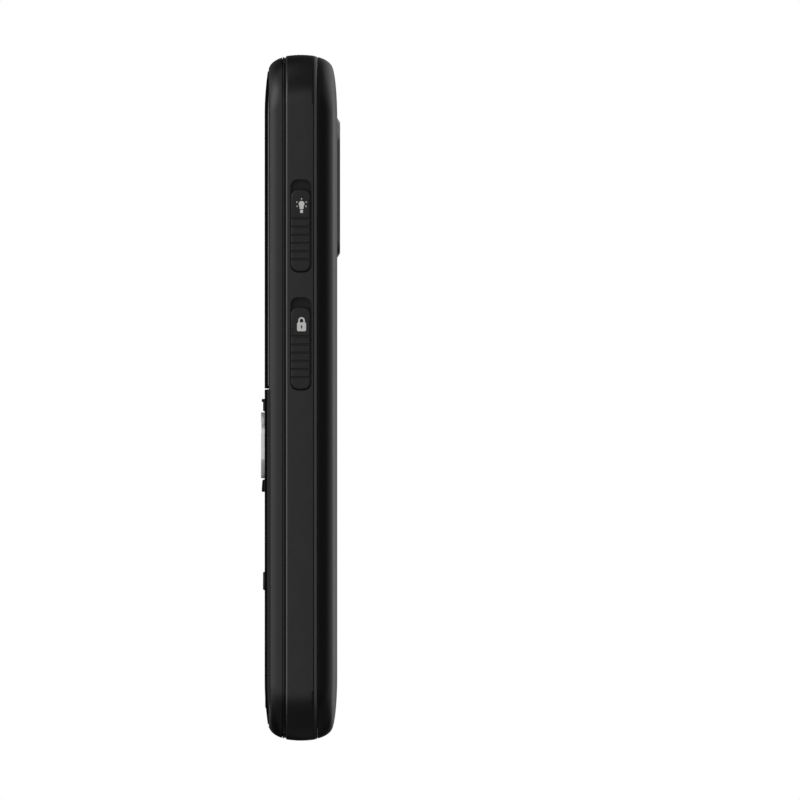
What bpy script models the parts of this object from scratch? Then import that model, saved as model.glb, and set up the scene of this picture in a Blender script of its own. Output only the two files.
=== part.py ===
"""Keypad mobile phone: a bar phone with large keys, two slide switches and a camera island.

The phone stands upright. +Z runs up its length, the display and the keys face -Y, the battery
cover faces +Y, and the torch and lock sliders are on the +X side. The origin is under the middle
of the bottom end. Every length is in metres and every angle in radians.
"""

import math

import bmesh
import bpy
from mathutils import Matrix, Vector

# Whole phone
HEIGHT = 0.134
WIDTH = 0.060
BODY_DEPTH = 0.01408
NAV_PROUD = 0.00077
ISLAND_PROUD = 0.00063
CORNER_RADIUS = 0.010
EDGE_INSET = 0.00255
CROWN_RISE = 0.00094
CROWN_INSET = 0.0117
BAND_DEPTH = 0.0063
BAND_CHAMFER_RUN = 0.0004
BAND_CHAMFER_INSET = 0.0003

# Clearances
SEAM_GAP = 0.0003
SEAT_GAP = 0.0002
KEY_GAP = 0.0002
RUN_GAP = 0.00015
OVERRUN = 0.001

# Shells and the plates on the front
SIDE_WALL = 0.0022
PLATE_INSET = 0.0029
PLATE_END_INSET = 0.0032
PLATE_THICKNESS = 0.0008
PLATE_END_WALL = 0.00015
PLATE_CHAMFER = 0.00012
RIM_STEP = 0.00075
DECK_THICKNESS = 0.0010
SEAM_HEIGHT = 0.0687
LEDGE = 0.0012
COVER_WALL = 0.0012
COVER_EDGE_WALL = 0.0015
LIP_ROOT = 0.0005
LIP_REACH = 0.0005
LIP_THICKNESS = 0.0007

# Layers behind the front, from the display back to the bulkhead
LCD_THICKNESS = 0.0018
SHEET_METAL = 0.0004
BOARD_THICKNESS = 0.0010
SHIELD_HEIGHT = 0.0016
BULKHEAD_THICKNESS = 0.0008
DOME_SHEET_THICKNESS = 0.0002
DOME_HEIGHT = 0.00025
MAT_THICKNESS = 0.0008
BOARD_SIDE_CLEARANCE = 0.0026
BOARD_END_CLEARANCE = 0.0016

# Display
LCD_WIDTH = 0.042
LCD_LOWER_BORDER = 0.0044
LCD_UPPER_BORDER = 0.0101
LCD_BEZEL = 0.0016

# Keypad
KEY_TRAVEL = 0.0004
KEY_RADIUS = 0.0025
KEY_RIM = 0.00035
KEY_FLANGE = 0.0006
KEY_FLANGE_DEPTH = 0.0006
KEY_RECESS = 0.00005
KEYS_BOTTOM = 0.00625
KEYS_SIDE_MARGIN = 0.0025
COLUMN_BAR = 0.0018
ROW_BAR = 0.0016
NAV_TO_KEYS = 0.00275
NAV_TO_SEAM = 0.0019
NAV_HEIGHT = 0.0182
NAV_WIDTH = 0.022
NAV_RADIUS = 0.004
NAV_FLANGE = 0.0005
NAV_LIP = 0.00062
NAV_LIP_SLOPE = 0.0029
NAV_LIP_LAND = 0.0005
NAV_TILT = math.radians(3)
OK_WIDTH = 0.0129
OK_RADIUS = 0.0042
TRIM_WALL = 0.0008
MARK_RADIUS = 0.0017
MARK_TOP_RADIUS = 0.0011
MARK_PROUD = 0.00037

# Sliders on the right side and the rocker on the left
SLOT_LENGTH = 0.01825
SLOT_WIDTH = 0.0041
SLOT_RADIUS = 0.0015
SLIDE_TRAVEL = 0.0018
SLOT_LAP = 0.00025
TORCH_SLOT_DROP = 0.0243
SLOT_SPACING = 0.02303
SIDE_PROUD = 0.00025
SIDE_FLANGE = 0.0006
SIDE_NUB = 0.0006
GROOVE_COUNT = 6
GROOVE_SPACING = 0.0016
GROOVE_WIDTH = 0.0005
GROOVE_DEPTH = 0.0002
GROOVE_FIRST = 0.0027
ROCKER_LENGTH = 0.020
ROCKER_WIDTH = 0.0032
ROCKER_DROP = 0.036

# Camera island on the back
ISLAND_DROP = 0.0123
ISLAND_HEIGHT = 0.0274
ISLAND_WIDTH = 0.017
ISLAND_RADIUS = 0.005
ISLAND_RAMP = 0.0011
ISLAND_THICKNESS = 0.00124
TOWER_WALL = 0.0012
CAMERA_DROP = 0.0067
WINDOW_RADIUS = 0.0039
WINDOW_THICKNESS = 0.0007
WINDOW_LEDGE = 0.0008
SOS_RISE = 0.0085
SOS_RADIUS = 0.0054
SOS_TRAVEL = 0.0005
SOS_FLANGE = 0.0007
SOS_SUNK = 0.00015

# Battery and what stands on the bulkhead
BATTERY_SIDE_ROOM = 0.009
BATTERY_BOTTOM = 0.024
BATTERY_TO_ISLAND = 0.0142
BATTERY_RADIUS = 0.001
RIB_THICKNESS = 0.0009
RIB_HEIGHT = 0.0014

# Ends: sockets at the bottom, torch at the top
USB_WIDTH = 0.0089
USB_DEPTH = 0.0032
USB_LENGTH = 0.0073
USB_WALL = 0.0003
JACK_OFFSET = 0.015
JACK_BORE = 0.0018
JACK_NOSE = 0.0022
JACK_BODY = 0.0045
JACK_LENGTH = 0.010
TORCH_RADIUS = 0.0022

# Screws
BOSS_RADIUS = 0.0018
SCREW_RADIUS = 0.0007
SCREW_HEAD_RADIUS = 0.0014
SCREW_HEAD = 0.0009
SCREW_GRIP = 0.0030

# Smoothness of round shapes
CORNER_STEPS = 6
KEY_CORNER_STEPS = 4
ROUND_STEPS = 20
SMALL_STEPS = 12
BARREL_STEPS = 16
FINE_STEPS = 8
DOME_STEPS = 6
SMOOTH_ANGLE = math.radians(30)

# Planes worked out from the sizes above, front to back
FRONT_Y = NAV_PROUD - (BODY_DEPTH + NAV_PROUD + ISLAND_PROUD) / 2
BACK_Y = FRONT_Y + BODY_DEPTH
MID_Y = (FRONT_Y + BACK_Y) / 2
ISLAND_FACE_Y = BACK_Y + ISLAND_PROUD
EDGE_DEPTH = BODY_DEPTH / 2 - CROWN_RISE
BAND_HALF = (BAND_DEPTH - SEAM_GAP) / 2
SHELL_START = (BAND_DEPTH + SEAM_GAP) / 2
PLATE_BACK_Y = FRONT_Y + PLATE_THICKNESS
DECK_FRONT_Y = PLATE_BACK_Y + SEAT_GAP
DECK_BACK_Y = DECK_FRONT_Y + DECK_THICKNESS
LCD_FRONT_Y = DECK_BACK_Y + SEAT_GAP
LCD_BACK_Y = LCD_FRONT_Y + LCD_THICKNESS
TRAY_BACK_Y = LCD_BACK_Y + SEAT_GAP + SHEET_METAL
BOARD_FRONT_Y = TRAY_BACK_Y + SEAT_GAP
BOARD_BACK_Y = BOARD_FRONT_Y + BOARD_THICKNESS
PARTS_Y = BOARD_BACK_Y + SEAT_GAP
PARTS_BACK_Y = PARTS_Y + SHIELD_HEIGHT
BULKHEAD_FRONT_Y = PARTS_BACK_Y + SEAT_GAP
BULKHEAD_BACK_Y = BULKHEAD_FRONT_Y + BULKHEAD_THICKNESS
BAY_Y = BULKHEAD_BACK_Y + SEAT_GAP
COVER_INNER_Y = BACK_Y - COVER_WALL
DOME_SHEET_BACK_Y = BOARD_FRONT_Y - SEAT_GAP
DOME_SHEET_FRONT_Y = DOME_SHEET_BACK_Y - DOME_SHEET_THICKNESS
MAT_BACK_Y = DOME_SHEET_FRONT_Y - DOME_HEIGHT - SEAT_GAP
MAT_FRONT_Y = MAT_BACK_Y - MAT_THICKNESS
KEY_BACK_Y = MAT_FRONT_Y - KEY_TRAVEL - SEAT_GAP
KEY_FACE_Y = FRONT_Y + KEY_RECESS
KEY_FLANGE_Y = PLATE_BACK_Y + SEAM_GAP
ISLAND_BACK_Y = ISLAND_FACE_Y - ISLAND_THICKNESS

# Lines worked out across and up the phone
HALF_WIDTH = WIDTH / 2
WALL_X = HALF_WIDTH - SIDE_WALL
PLATE_X = HALF_WIDTH - PLATE_INSET
BOARD_X = WALL_X - BOARD_SIDE_CLEARANCE
BOARD_LOW = SIDE_WALL + BOARD_END_CLEARANCE
BOARD_HIGH = HEIGHT - BOARD_LOW
PLATE_RADIUS = CORNER_RADIUS - PLATE_INSET / 2
LENS_BOTTOM = SEAM_HEIGHT + KEY_GAP / 2
BEZEL_TOP = SEAM_HEIGHT - KEY_GAP / 2
LCD_BOTTOM = SEAM_HEIGHT + LCD_LOWER_BORDER
LCD_TOP = HEIGHT - LCD_UPPER_BORDER
NAV_TOP = SEAM_HEIGHT - NAV_TO_SEAM
NAV_BOTTOM = NAV_TOP - NAV_HEIGHT
NAV_Z = (NAV_TOP + NAV_BOTTOM) / 2
KEYS_X = PLATE_X - KEYS_SIDE_MARGIN
KEY_WIDTH = (2 * KEYS_X - 2 * COLUMN_BAR) / 3
KEY_HEIGHT = (NAV_BOTTOM - NAV_TO_KEYS - KEYS_BOTTOM - 3 * ROW_BAR) / 4
ISLAND_TOP = HEIGHT - ISLAND_DROP
ISLAND_BOTTOM = ISLAND_TOP - ISLAND_HEIGHT
BATTERY_WIDTH = WIDTH - 2 * BATTERY_SIDE_ROOM
BATTERY_TOP = ISLAND_BOTTOM - BATTERY_TO_ISLAND
CAMERA_Z = ISLAND_TOP - CAMERA_DROP
SOS_Z = ISLAND_BOTTOM + SOS_RISE
TORCH_SLOT_Z = HEIGHT - TORCH_SLOT_DROP - SLOT_LENGTH / 2
LOCK_SLOT_Z = TORCH_SLOT_Z - SLOT_SPACING
ROCKER_Z = HEIGHT - ROCKER_DROP

FINISHES = {
    "shell": ((0.022, 0.022, 0.023), 0.42, 0.0),
    "gloss_black": ((0.006, 0.006, 0.007), 0.08, 0.0),
    "key": ((0.030, 0.030, 0.032), 0.50, 0.0),
    "chrome": ((0.78, 0.78, 0.80), 0.12, 1.0),
    "steel": ((0.55, 0.55, 0.56), 0.35, 1.0),
    "clear": ((0.75, 0.78, 0.80), 0.05, 0.0),
    "board": ((0.02, 0.10, 0.05), 0.45, 0.0),
    "rubber": ((0.05, 0.05, 0.055), 0.80, 0.0),
    "white": ((0.70, 0.70, 0.68), 0.50, 0.0),
    "label": ((0.12, 0.12, 0.13), 0.60, 0.0),
}

for stale in list(bpy.data.objects):
    bpy.data.objects.remove(stale)
phone = bpy.data.collections.new("keypad_mobile_phone")
cutters = bpy.data.collections.new("cutters")
cutters.hide_render = True
for made in (phone, cutters):
    bpy.context.scene.collection.children.link(made)


def new_object(name, bm, collection, origin):
    """The bmesh as an object whose own origin is at this point of the phone."""
    mesh = bpy.data.meshes.new(name)
    bmesh.ops.recalc_face_normals(bm, faces=bm.faces)
    bm.transform(Matrix.Translation(-Vector(origin)))
    bm.to_mesh(mesh)
    bm.free()
    obj = bpy.data.objects.new(name, mesh)
    obj.location = origin
    collection.objects.link(obj)
    return obj


def give_finish(obj, finish):
    colour, roughness, metallic = FINISHES[finish]
    material = bpy.data.materials.new(obj.name)
    material.use_nodes = True
    shader = material.node_tree.nodes["Principled BSDF"]
    shader.inputs["Base Color"].default_value = (*colour, 1)
    shader.inputs["Roughness"].default_value = roughness
    shader.inputs["Metallic"].default_value = metallic
    obj.data.materials.append(material)


def piece(name, bm, finish, origin=(0, 0, 0)):
    """One sub-part of the phone."""
    obj = new_object(name, bm, phone, origin)
    give_finish(obj, finish)
    obj.data.shade_smooth()
    obj.data.set_sharp_from_angle(angle=SMOOTH_ANGLE)
    return obj


def combine(target, operation, bm, name):
    """Cuts the shape from the target, or joins it on, with a live Boolean."""
    helper = new_object(f"{target.name}_{name}", bm, cutters, (0, 0, 0))
    helper.hide_render = True
    helper.display_type = "WIRE"
    modifier = target.modifiers.new(name, "BOOLEAN")
    modifier.operation = operation
    modifier.object = helper
    modifier.solver = "EXACT"


def cut(target, bm, name):
    combine(target, "DIFFERENCE", bm, name)


def join(target, bm, name):
    combine(target, "UNION", bm, name)


# Points closer than this count as level with each other
SAME_PLACE = 1e-7


def edges_along(bm, axis):
    """Edges of a box that run along this axis."""
    others = [n for n in range(3) if n != "XYZ".index(axis)]
    spans = [(e, e.verts[0].co - e.verts[1].co) for e in bm.edges]
    return [e for e, span in spans if all(abs(span[n]) < SAME_PLACE for n in others)]


def block(low, high, radius=0.0, axis="Y", steps=KEY_CORNER_STEPS):
    """A box between two corners, with its edges along one axis rounded."""
    low, high = Vector(low), Vector(high)
    bm = bmesh.new()
    place = Matrix.Translation((low + high) / 2) @ Matrix.Diagonal((*(high - low), 1))
    bmesh.ops.create_cube(bm, size=1, matrix=place)
    if radius:
        bmesh.ops.bevel(
            bm, geom=edges_along(bm, axis), offset=radius, segments=steps, profile=0.5, affect="EDGES"
        )
    return bm


def cylinder(centre, radius, low, high, axis="Y", steps=ROUND_STEPS, end_radius=None):
    """A round bar along one axis, from low to high, tapering to end_radius if one is given."""
    turn = {
        "X": Matrix.Rotation(math.pi / 2, 4, "Y"),
        "Y": Matrix.Rotation(-math.pi / 2, 4, "X"),
        "Z": Matrix.Identity(4),
    }[axis]
    middle = Vector(centre)
    middle["XYZ".index(axis)] = (low + high) / 2
    bm = bmesh.new()
    bmesh.ops.create_cone(
        bm,
        cap_ends=True,
        segments=steps,
        radius1=radius,
        radius2=radius if end_radius is None else end_radius,
        depth=high - low,
        matrix=Matrix.Translation(middle) @ turn,
    )
    return bm


def add_shape(bm, other):
    """Copies another shape into this one, as a separate body."""
    mesh = bpy.data.meshes.new("scratch")
    other.to_mesh(mesh)
    other.free()
    bm.from_mesh(mesh)
    bpy.data.meshes.remove(mesh)


def end_face(bm, axis, sign):
    """The largest of the flat faces at the far end of a shape along an axis."""
    n = "XYZ".index(axis)
    bm.normal_update()
    end = max(v.co[n] * sign for v in bm.verts)
    facing = [f for f in bm.faces if min(v.co[n] * sign for v in f.verts) > end - SAME_PLACE]
    return max(facing, key=lambda f: f.calc_area())


def narrow(bm, axis, sign, inset, rise):
    """Insets the end face and moves it out, for a ramp or a shoulder."""
    face = end_face(bm, axis, sign)
    bmesh.ops.inset_region(bm, faces=[face], thickness=inset, use_even_offset=True)
    shift = Vector()
    shift["XYZ".index(axis)] = rise * sign
    bmesh.ops.translate(bm, verts=face.verts, vec=shift)


def extend(bm, axis, sign, rise):
    """Extrudes the end face straight out."""
    face = bmesh.ops.extrude_discrete_faces(bm, faces=[end_face(bm, axis, sign)])["faces"][0]
    shift = Vector()
    shift["XYZ".index(axis)] = rise * sign
    bmesh.ops.translate(bm, verts=face.verts, vec=shift)


def round_rim(bm, axis, sign, radius, segments=2):
    """Rounds the edge all round the end face."""
    edges = list(end_face(bm, axis, sign).edges)
    bmesh.ops.bevel(
        bm, geom=edges, offset=radius, segments=segments, profile=0.5, affect="EDGES", clamp_overlap=True
    )


def outline(half_width, low, high, low_radius, high_radius, steps=CORNER_STEPS):
    """Points round an upright plate with rounded corners, seen from the front."""
    corners = (
        (half_width, high, high_radius, 0),
        (-half_width, high, high_radius, 1),
        (-half_width, low, low_radius, 2),
        (half_width, low, low_radius, 3),
    )
    points = []
    for x, z, radius, quarter in corners:
        centre_x = x - math.copysign(radius, x)
        centre_z = z - (radius if quarter < 2 else -radius)
        for step in range(steps + 1):
            angle = (quarter + step / steps) * math.pi / 2
            points.append((centre_x + radius * math.cos(angle), centre_z + radius * math.sin(angle)))
    return points


def loft(rings):
    """A closed skin through outlines that lie one behind another along Y."""
    bm = bmesh.new()
    layers = [[bm.verts.new((x, y, z)) for x, z in points] for y, points in rings]
    for front, back in zip(layers, layers[1:]):
        for n in range(len(front)):
            after = (n + 1) % len(front)
            bm.faces.new((front[n], front[after], back[after], back[n]))
    bm.faces.new(layers[0])
    bm.faces.new(layers[-1])
    return bm


# The corner radius shrinks by this share of the inset
CORNER_SHRINK_SHARE = 0.6
# Depths at which the rounded edge has a ring, as shares of the way from the seam to its end
EDGE_RING_SHARES = (0.0, 0.35, 0.62, 0.82, 0.95, 1.0)
# Insets at which the gently crowned back has a ring, as shares of the way to the flat
CROWN_RING_SHARES = (0.12, 0.35, 0.65, 1.0)


def body_outline(inset):
    """The phone's own outline, drawn in by this much."""
    radius = CORNER_RADIUS - CORNER_SHRINK_SHARE * inset
    return outline(HALF_WIDTH - inset, inset, HEIGHT - inset, radius, radius)


def body_loft(section):
    """A closed skin that follows the phone's outline, through corners given as (y, inset)."""
    return loft([(y, body_outline(inset)) for y, inset in section])


def lip_section(edge, wall_inset):
    """A lip inside a wall that crosses the seam in front of the wall's edge, to keep dust out."""
    root, shoulder, tip = edge + LIP_ROOT, edge + SEAT_GAP, edge - SEAM_GAP - LIP_REACH
    outer = SIDE_WALL + RUN_GAP
    inner = outer + LIP_THICKNESS
    return [
        (root, wall_inset),
        (root, inner),
        (tip, inner),
        (tip, outer),
        (shoulder, outer),
        (shoulder, wall_inset),
        (edge, wall_inset),
    ]


def edge_inset(depth):
    """How far the rounded edge is drawn in at this depth from the middle plane."""
    return EDGE_INSET * (1 - math.sqrt(max(0.0, 1 - (depth / EDGE_DEPTH) ** 2)))


def edge_section(side):
    """The rounded edge from the seam outwards, on the front (-1) or the back (1)."""
    depths = [SHELL_START + (EDGE_DEPTH - SHELL_START) * share for share in EDGE_RING_SHARES]
    return [(MID_Y + side * depth, edge_inset(depth)) for depth in depths]


SCREW_SPOTS = {
    "screw_top_left": (-1, HEIGHT - SIDE_WALL - 2 * BOSS_RADIUS),
    "screw_top_right": (1, HEIGHT - SIDE_WALL - 2 * BOSS_RADIUS),
    "screw_middle_left": (-1, SEAM_HEIGHT + BOSS_RADIUS / 2),
    "screw_middle_right": (1, SEAM_HEIGHT + BOSS_RADIUS / 2),
}
# How far the screws stand from the middle: the upper pair is nearer, because of the corners
SCREW_INSET = 0.0055
UPPER_SCREW_INSET = 0.0100


def screw_place(name):
    side, z = SCREW_SPOTS[name]
    inset = UPPER_SCREW_INSET if "top" in name else SCREW_INSET
    return side * (HALF_WIDTH - inset), z


# Openings of the front shell: earpiece slit and microphone hole
EARPIECE_DROP = 0.0070
EARPIECE_WIDTH = 0.0120
EARPIECE_SLIT = 0.0018
MIC_RADIUS = 0.0005
MIC_Z = PLATE_END_INSET + LEDGE
KEYPAD_LOW = PLATE_END_INSET + 2 * LEDGE - MIC_RADIUS
KEYPAD_HIGH = NAV_TOP + NAV_FLANGE + SEAM_GAP
KEYPAD_RADIUS = 0.0036
EARPIECE_Z = HEIGHT - EARPIECE_DROP


def front_shell():
    rim_y = FRONT_Y + RIM_STEP
    rim_inset = PLATE_INSET - KEY_GAP
    recess = outline(
        HALF_WIDTH - rim_inset,
        PLATE_END_INSET - KEY_GAP,
        HEIGHT - PLATE_END_INSET + KEY_GAP,
        PLATE_RADIUS,
        PLATE_RADIUS,
    )
    section = [
        (DECK_BACK_Y, SIDE_WALL),
        (MID_Y - SHELL_START, SIDE_WALL),
        *edge_section(-1),
        (rim_y, EDGE_INSET),
    ]
    rings = [(y, body_outline(inset)) for y, inset in section]
    shell = piece("front_shell", loft([*rings, (rim_y, recess), (DECK_FRONT_Y, recess)]), "shell")
    cut(
        shell,
        block(
            (LCD_BEZEL - LCD_WIDTH / 2, DECK_FRONT_Y - OVERRUN, LCD_BOTTOM + LCD_BEZEL),
            (LCD_WIDTH / 2 - LCD_BEZEL, DECK_BACK_Y + OVERRUN, LCD_TOP - LCD_BEZEL),
        ),
        "display_window",
    )
    cut(
        shell,
        block(
            (LEDGE - PLATE_X, DECK_FRONT_Y - OVERRUN, KEYPAD_LOW),
            (PLATE_X - LEDGE, DECK_BACK_Y + OVERRUN, KEYPAD_HIGH),
            KEYPAD_RADIUS,
        ),
        "keypad_window",
    )
    cut(
        shell,
        block(
            (LEDGE - EARPIECE_WIDTH / 2, DECK_FRONT_Y - OVERRUN, EARPIECE_Z - EARPIECE_SLIT / 3),
            (EARPIECE_WIDTH / 2 - LEDGE, DECK_BACK_Y + OVERRUN, EARPIECE_Z + EARPIECE_SLIT / 3),
        ),
        "earpiece_slit",
    )
    start, end = DECK_FRONT_Y - OVERRUN, DECK_BACK_Y + OVERRUN
    mic = cylinder((0, 0, MIC_Z), MIC_RADIUS, start, end, steps=FINE_STEPS)
    cut(shell, mic, "mic_hole")
    boss_end = BULKHEAD_FRONT_Y - SEAT_GAP
    bore = SCREW_RADIUS + SEAT_GAP
    for name in SCREW_SPOTS:
        x, z = screw_place(name)
        start = DECK_BACK_Y - DECK_THICKNESS / 2
        join(shell, cylinder((x, 0, z), BOSS_RADIUS, start, boss_end, steps=SMALL_STEPS), f"boss_{name}")
        start = BULKHEAD_BACK_Y - SCREW_GRIP - BULKHEAD_THICKNESS - BOARD_THICKNESS
        bored = cylinder((x, 0, z), bore, start, boss_end + OVERRUN, steps=SMALL_STEPS)
        cut(shell, bored, f"bore_{name}")


# Insets of the plates' crowned end, as shares of the way from their edge to the flat face
PLATE_RING_SHARES = (0.0, 0.2, 0.45, 0.7, 1.0)
# How much the plates' outer corners tighten over the crown, as a share of its inset
PLATE_CORNER_SHARE = 0.35
PLATE_SEAM_RADIUS = 0.0006


def plate_rings(crown_low):
    """Rings of a front plate whose outer end, low or high, is crowned down to the shell's rim."""
    rings = []
    drop = PLATE_THICKNESS - PLATE_END_WALL
    for share in (None, *PLATE_RING_SHARES):
        reach = PLATE_END_INSET + (CROWN_INSET - PLATE_END_INSET) * (share or 0)
        y = PLATE_BACK_Y if share is None else FRONT_Y + drop * (1 - share) ** 2
        side = PLATE_CHAMFER * max(0.0, (share or 0) - PLATE_RING_SHARES[2]) / (1 - PLATE_RING_SHARES[2])
        crown_radius = PLATE_RADIUS - (reach - PLATE_END_INSET) * PLATE_CORNER_SHARE
        seam_radius = PLATE_SEAM_RADIUS
        if crown_low:
            points = outline(PLATE_X - side, reach, BEZEL_TOP - side, crown_radius, seam_radius)
        else:
            points = outline(PLATE_X - side, LENS_BOTTOM + side, HEIGHT - reach, seam_radius, crown_radius)
        rings.append((y, points))
    return rings


# Corner radius of the earpiece slit, as a share of its width
SLIT_ROUND_SHARE = 0.45


def display_lens():
    lens = piece("display_lens", loft(plate_rings(False)), "gloss_black")
    slit = block(
        (-EARPIECE_WIDTH / 2, FRONT_Y - OVERRUN, EARPIECE_Z - EARPIECE_SLIT / 2),
        (EARPIECE_WIDTH / 2, PLATE_BACK_Y + OVERRUN, EARPIECE_Z + EARPIECE_SLIT / 2),
        EARPIECE_SLIT * SLIT_ROUND_SHARE,
    )
    cut(lens, slit, "earpiece_slit")


def earpiece_mesh():
    gauze = block(
        (
            KEY_GAP - EARPIECE_WIDTH / 2,
            PLATE_BACK_Y - PLATE_THICKNESS / 2,
            EARPIECE_Z + KEY_GAP - EARPIECE_SLIT / 2,
        ),
        (EARPIECE_WIDTH / 2 - KEY_GAP, PLATE_BACK_Y, EARPIECE_Z - KEY_GAP + EARPIECE_SLIT / 2),
        (EARPIECE_SLIT - 2 * KEY_GAP) * SLIT_ROUND_SHARE,
    )
    piece("earpiece_mesh", gauze, "steel")


SIDE_KEY_INNER = NAV_WIDTH / 2 + COLUMN_BAR
SIDE_KEY_WIDTH = KEYS_X - SIDE_KEY_INNER
SIDE_KEY_HEIGHT = (NAV_HEIGHT - ROW_BAR) / 2
KEY_NAMES = (
    ("key_star", "key_0", "key_hash"),
    ("key_7", "key_8", "key_9"),
    ("key_4", "key_5", "key_6"),
    ("key_1", "key_2", "key_3"),
)


def key_places():
    """Name of each pressed key, with its centre across and up, its width and its height."""
    places = []
    for row, names in enumerate(KEY_NAMES):
        z = KEYS_BOTTOM + KEY_HEIGHT / 2 + row * (KEY_HEIGHT + ROW_BAR)
        for column, name in enumerate(names):
            places.append((name, (column - 1) * (KEY_WIDTH + COLUMN_BAR), z, KEY_WIDTH, KEY_HEIGHT))
    side_x = SIDE_KEY_INNER + SIDE_KEY_WIDTH / 2
    upper = NAV_TOP - SIDE_KEY_HEIGHT / 2
    lower = NAV_BOTTOM + SIDE_KEY_HEIGHT / 2
    for name, x, z in (
        ("soft_key_left", -side_x, upper),
        ("soft_key_right", side_x, upper),
        ("call_key", -side_x, lower),
        ("end_key", side_x, lower),
    ):
        places.append((name, x, z, SIDE_KEY_WIDTH, SIDE_KEY_HEIGHT))
    return places


def keypad_bezel():
    bezel = piece("keypad_bezel", loft(plate_rings(True)), "gloss_black")
    places = [*key_places(), ("nav_rocker", 0, NAV_Z, NAV_WIDTH, NAV_HEIGHT)]
    for name, x, z, width, height in places:
        hole = block(
            (x - width / 2 - KEY_GAP, FRONT_Y - OVERRUN, z - height / 2 - KEY_GAP),
            (x + width / 2 + KEY_GAP, PLATE_BACK_Y + OVERRUN, z + height / 2 + KEY_GAP),
            KEY_GAP + (NAV_RADIUS if name == "nav_rocker" else KEY_RADIUS),
        )
        cut(bezel, hole, f"hole_{name}")
    mic = cylinder((0, 0, MIC_Z), MIC_RADIUS, FRONT_Y - OVERRUN, PLATE_BACK_Y + OVERRUN, steps=FINE_STEPS)
    cut(bezel, mic, "mic_hole")


def key_shape(width, height):
    """A keycap centred on the origin of X and Z, with a flange that the bezel holds down."""
    reach_x, reach_z = width / 2 + KEY_FLANGE, height / 2 + KEY_FLANGE
    bm = block(
        (-reach_x, KEY_FLANGE_Y, -reach_z),
        (reach_x, KEY_FLANGE_Y + KEY_FLANGE_DEPTH, reach_z),
        KEY_RADIUS + KEY_FLANGE,
    )
    narrow(bm, "Y", -1, KEY_FLANGE, 0)
    extend(bm, "Y", -1, KEY_FLANGE_Y - KEY_FACE_Y)
    round_rim(bm, "Y", -1, KEY_RIM)
    narrow(bm, "Y", 1, 2 * KEY_FLANGE, 0)
    extend(bm, "Y", 1, KEY_BACK_Y - KEY_FLANGE_Y - KEY_FLANGE_DEPTH)
    return bm


def keys():
    shapes = {}
    for name, x, z, width, height in key_places():
        if (width, height) in shapes and name != "key_5":
            key = bpy.data.objects.new(name, shapes[width, height].copy())
            key.data.materials.clear()
            phone.objects.link(key)
            give_finish(key, "key")
        else:
            key = piece(name, key_shape(width, height), "key")
            shapes.setdefault((width, height), key.data)
        key.location = (x, 0, z)
        if name == "key_5":
            start = KEY_FACE_Y + KEY_RIM
            mark = cylinder(
                (x, 0, z),
                MARK_TOP_RADIUS,
                FRONT_Y - MARK_PROUD,
                start,
                steps=SMALL_STEPS,
                end_radius=MARK_RADIUS,
            )
            join(key, mark, "feel_mark")


def nav_rocker():
    pivot_y = KEY_FLANGE_Y + KEY_FLANGE_DEPTH
    flange_y = PLATE_BACK_Y + SEAM_GAP + NAV_HEIGHT / 2 * math.sin(NAV_TILT)
    reach_x, reach_z = NAV_WIDTH / 2 + NAV_FLANGE, NAV_HEIGHT / 2 + NAV_FLANGE
    bm = block(
        (-reach_x, flange_y, NAV_Z - reach_z),
        (reach_x, flange_y + KEY_FLANGE_DEPTH, NAV_Z + reach_z),
        NAV_RADIUS + NAV_FLANGE,
    )
    narrow(bm, "Y", -1, NAV_FLANGE, 0)
    extend(bm, "Y", -1, flange_y - FRONT_Y + NAV_LIP)
    rocker = piece("nav_rocker", bm, "key", (0, pivot_y, NAV_Z))
    dish_half = NAV_HEIGHT / 2 - NAV_LIP_LAND
    dish = block(
        (-NAV_WIDTH, FRONT_Y - NAV_LIP, NAV_Z - dish_half), (NAV_WIDTH, FRONT_Y, NAV_Z + dish_half)
    )
    floor = [v for v in dish.verts if v.co.y > FRONT_Y - NAV_LIP / 2]
    for vert in floor:
        vert.co.z -= math.copysign(NAV_LIP_SLOPE - NAV_LIP_LAND, vert.co.z - NAV_Z)
    extend(dish, "Y", -1, OVERRUN)
    cut(rocker, dish, "dish")
    hole = OK_WIDTH / 2 + KEY_GAP
    cut(
        rocker,
        block(
            (-hole, FRONT_Y - OVERRUN, NAV_Z - hole),
            (hole, MAT_FRONT_Y, NAV_Z + hole),
            OK_RADIUS + KEY_GAP,
        ),
        "centre_hole",
    )


def ok_key():
    half = OK_WIDTH / 2
    trim_y = FRONT_Y - NAV_PROUD
    shoulder_y = FRONT_Y + SEAT_GAP
    bm = block((-half, shoulder_y, NAV_Z - half), (half, KEY_BACK_Y, NAV_Z + half), OK_RADIUS)
    narrow(bm, "Y", -1, TRIM_WALL + RUN_GAP, 0)
    extend(bm, "Y", -1, shoulder_y - trim_y - NAV_PROUD / 2)
    round_rim(bm, "Y", -1, KEY_RIM)
    piece("ok_key", bm, "key", (0, FRONT_Y, NAV_Z))
    ring = block(
        (-half, trim_y, NAV_Z - half), (half, shoulder_y - SEAT_GAP, NAV_Z + half), OK_RADIUS
    )
    round_rim(ring, "Y", -1, TRIM_WALL / 4, 1)
    trim = piece("ok_trim_ring", ring, "chrome", (0, FRONT_Y, NAV_Z))
    inner = half - TRIM_WALL
    opening = block(
        (-inner, trim_y - OVERRUN, NAV_Z - inner),
        (inner, shoulder_y + OVERRUN, NAV_Z + inner),
        OK_RADIUS - TRIM_WALL,
    )
    cut(trim, opening, "opening")


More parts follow.
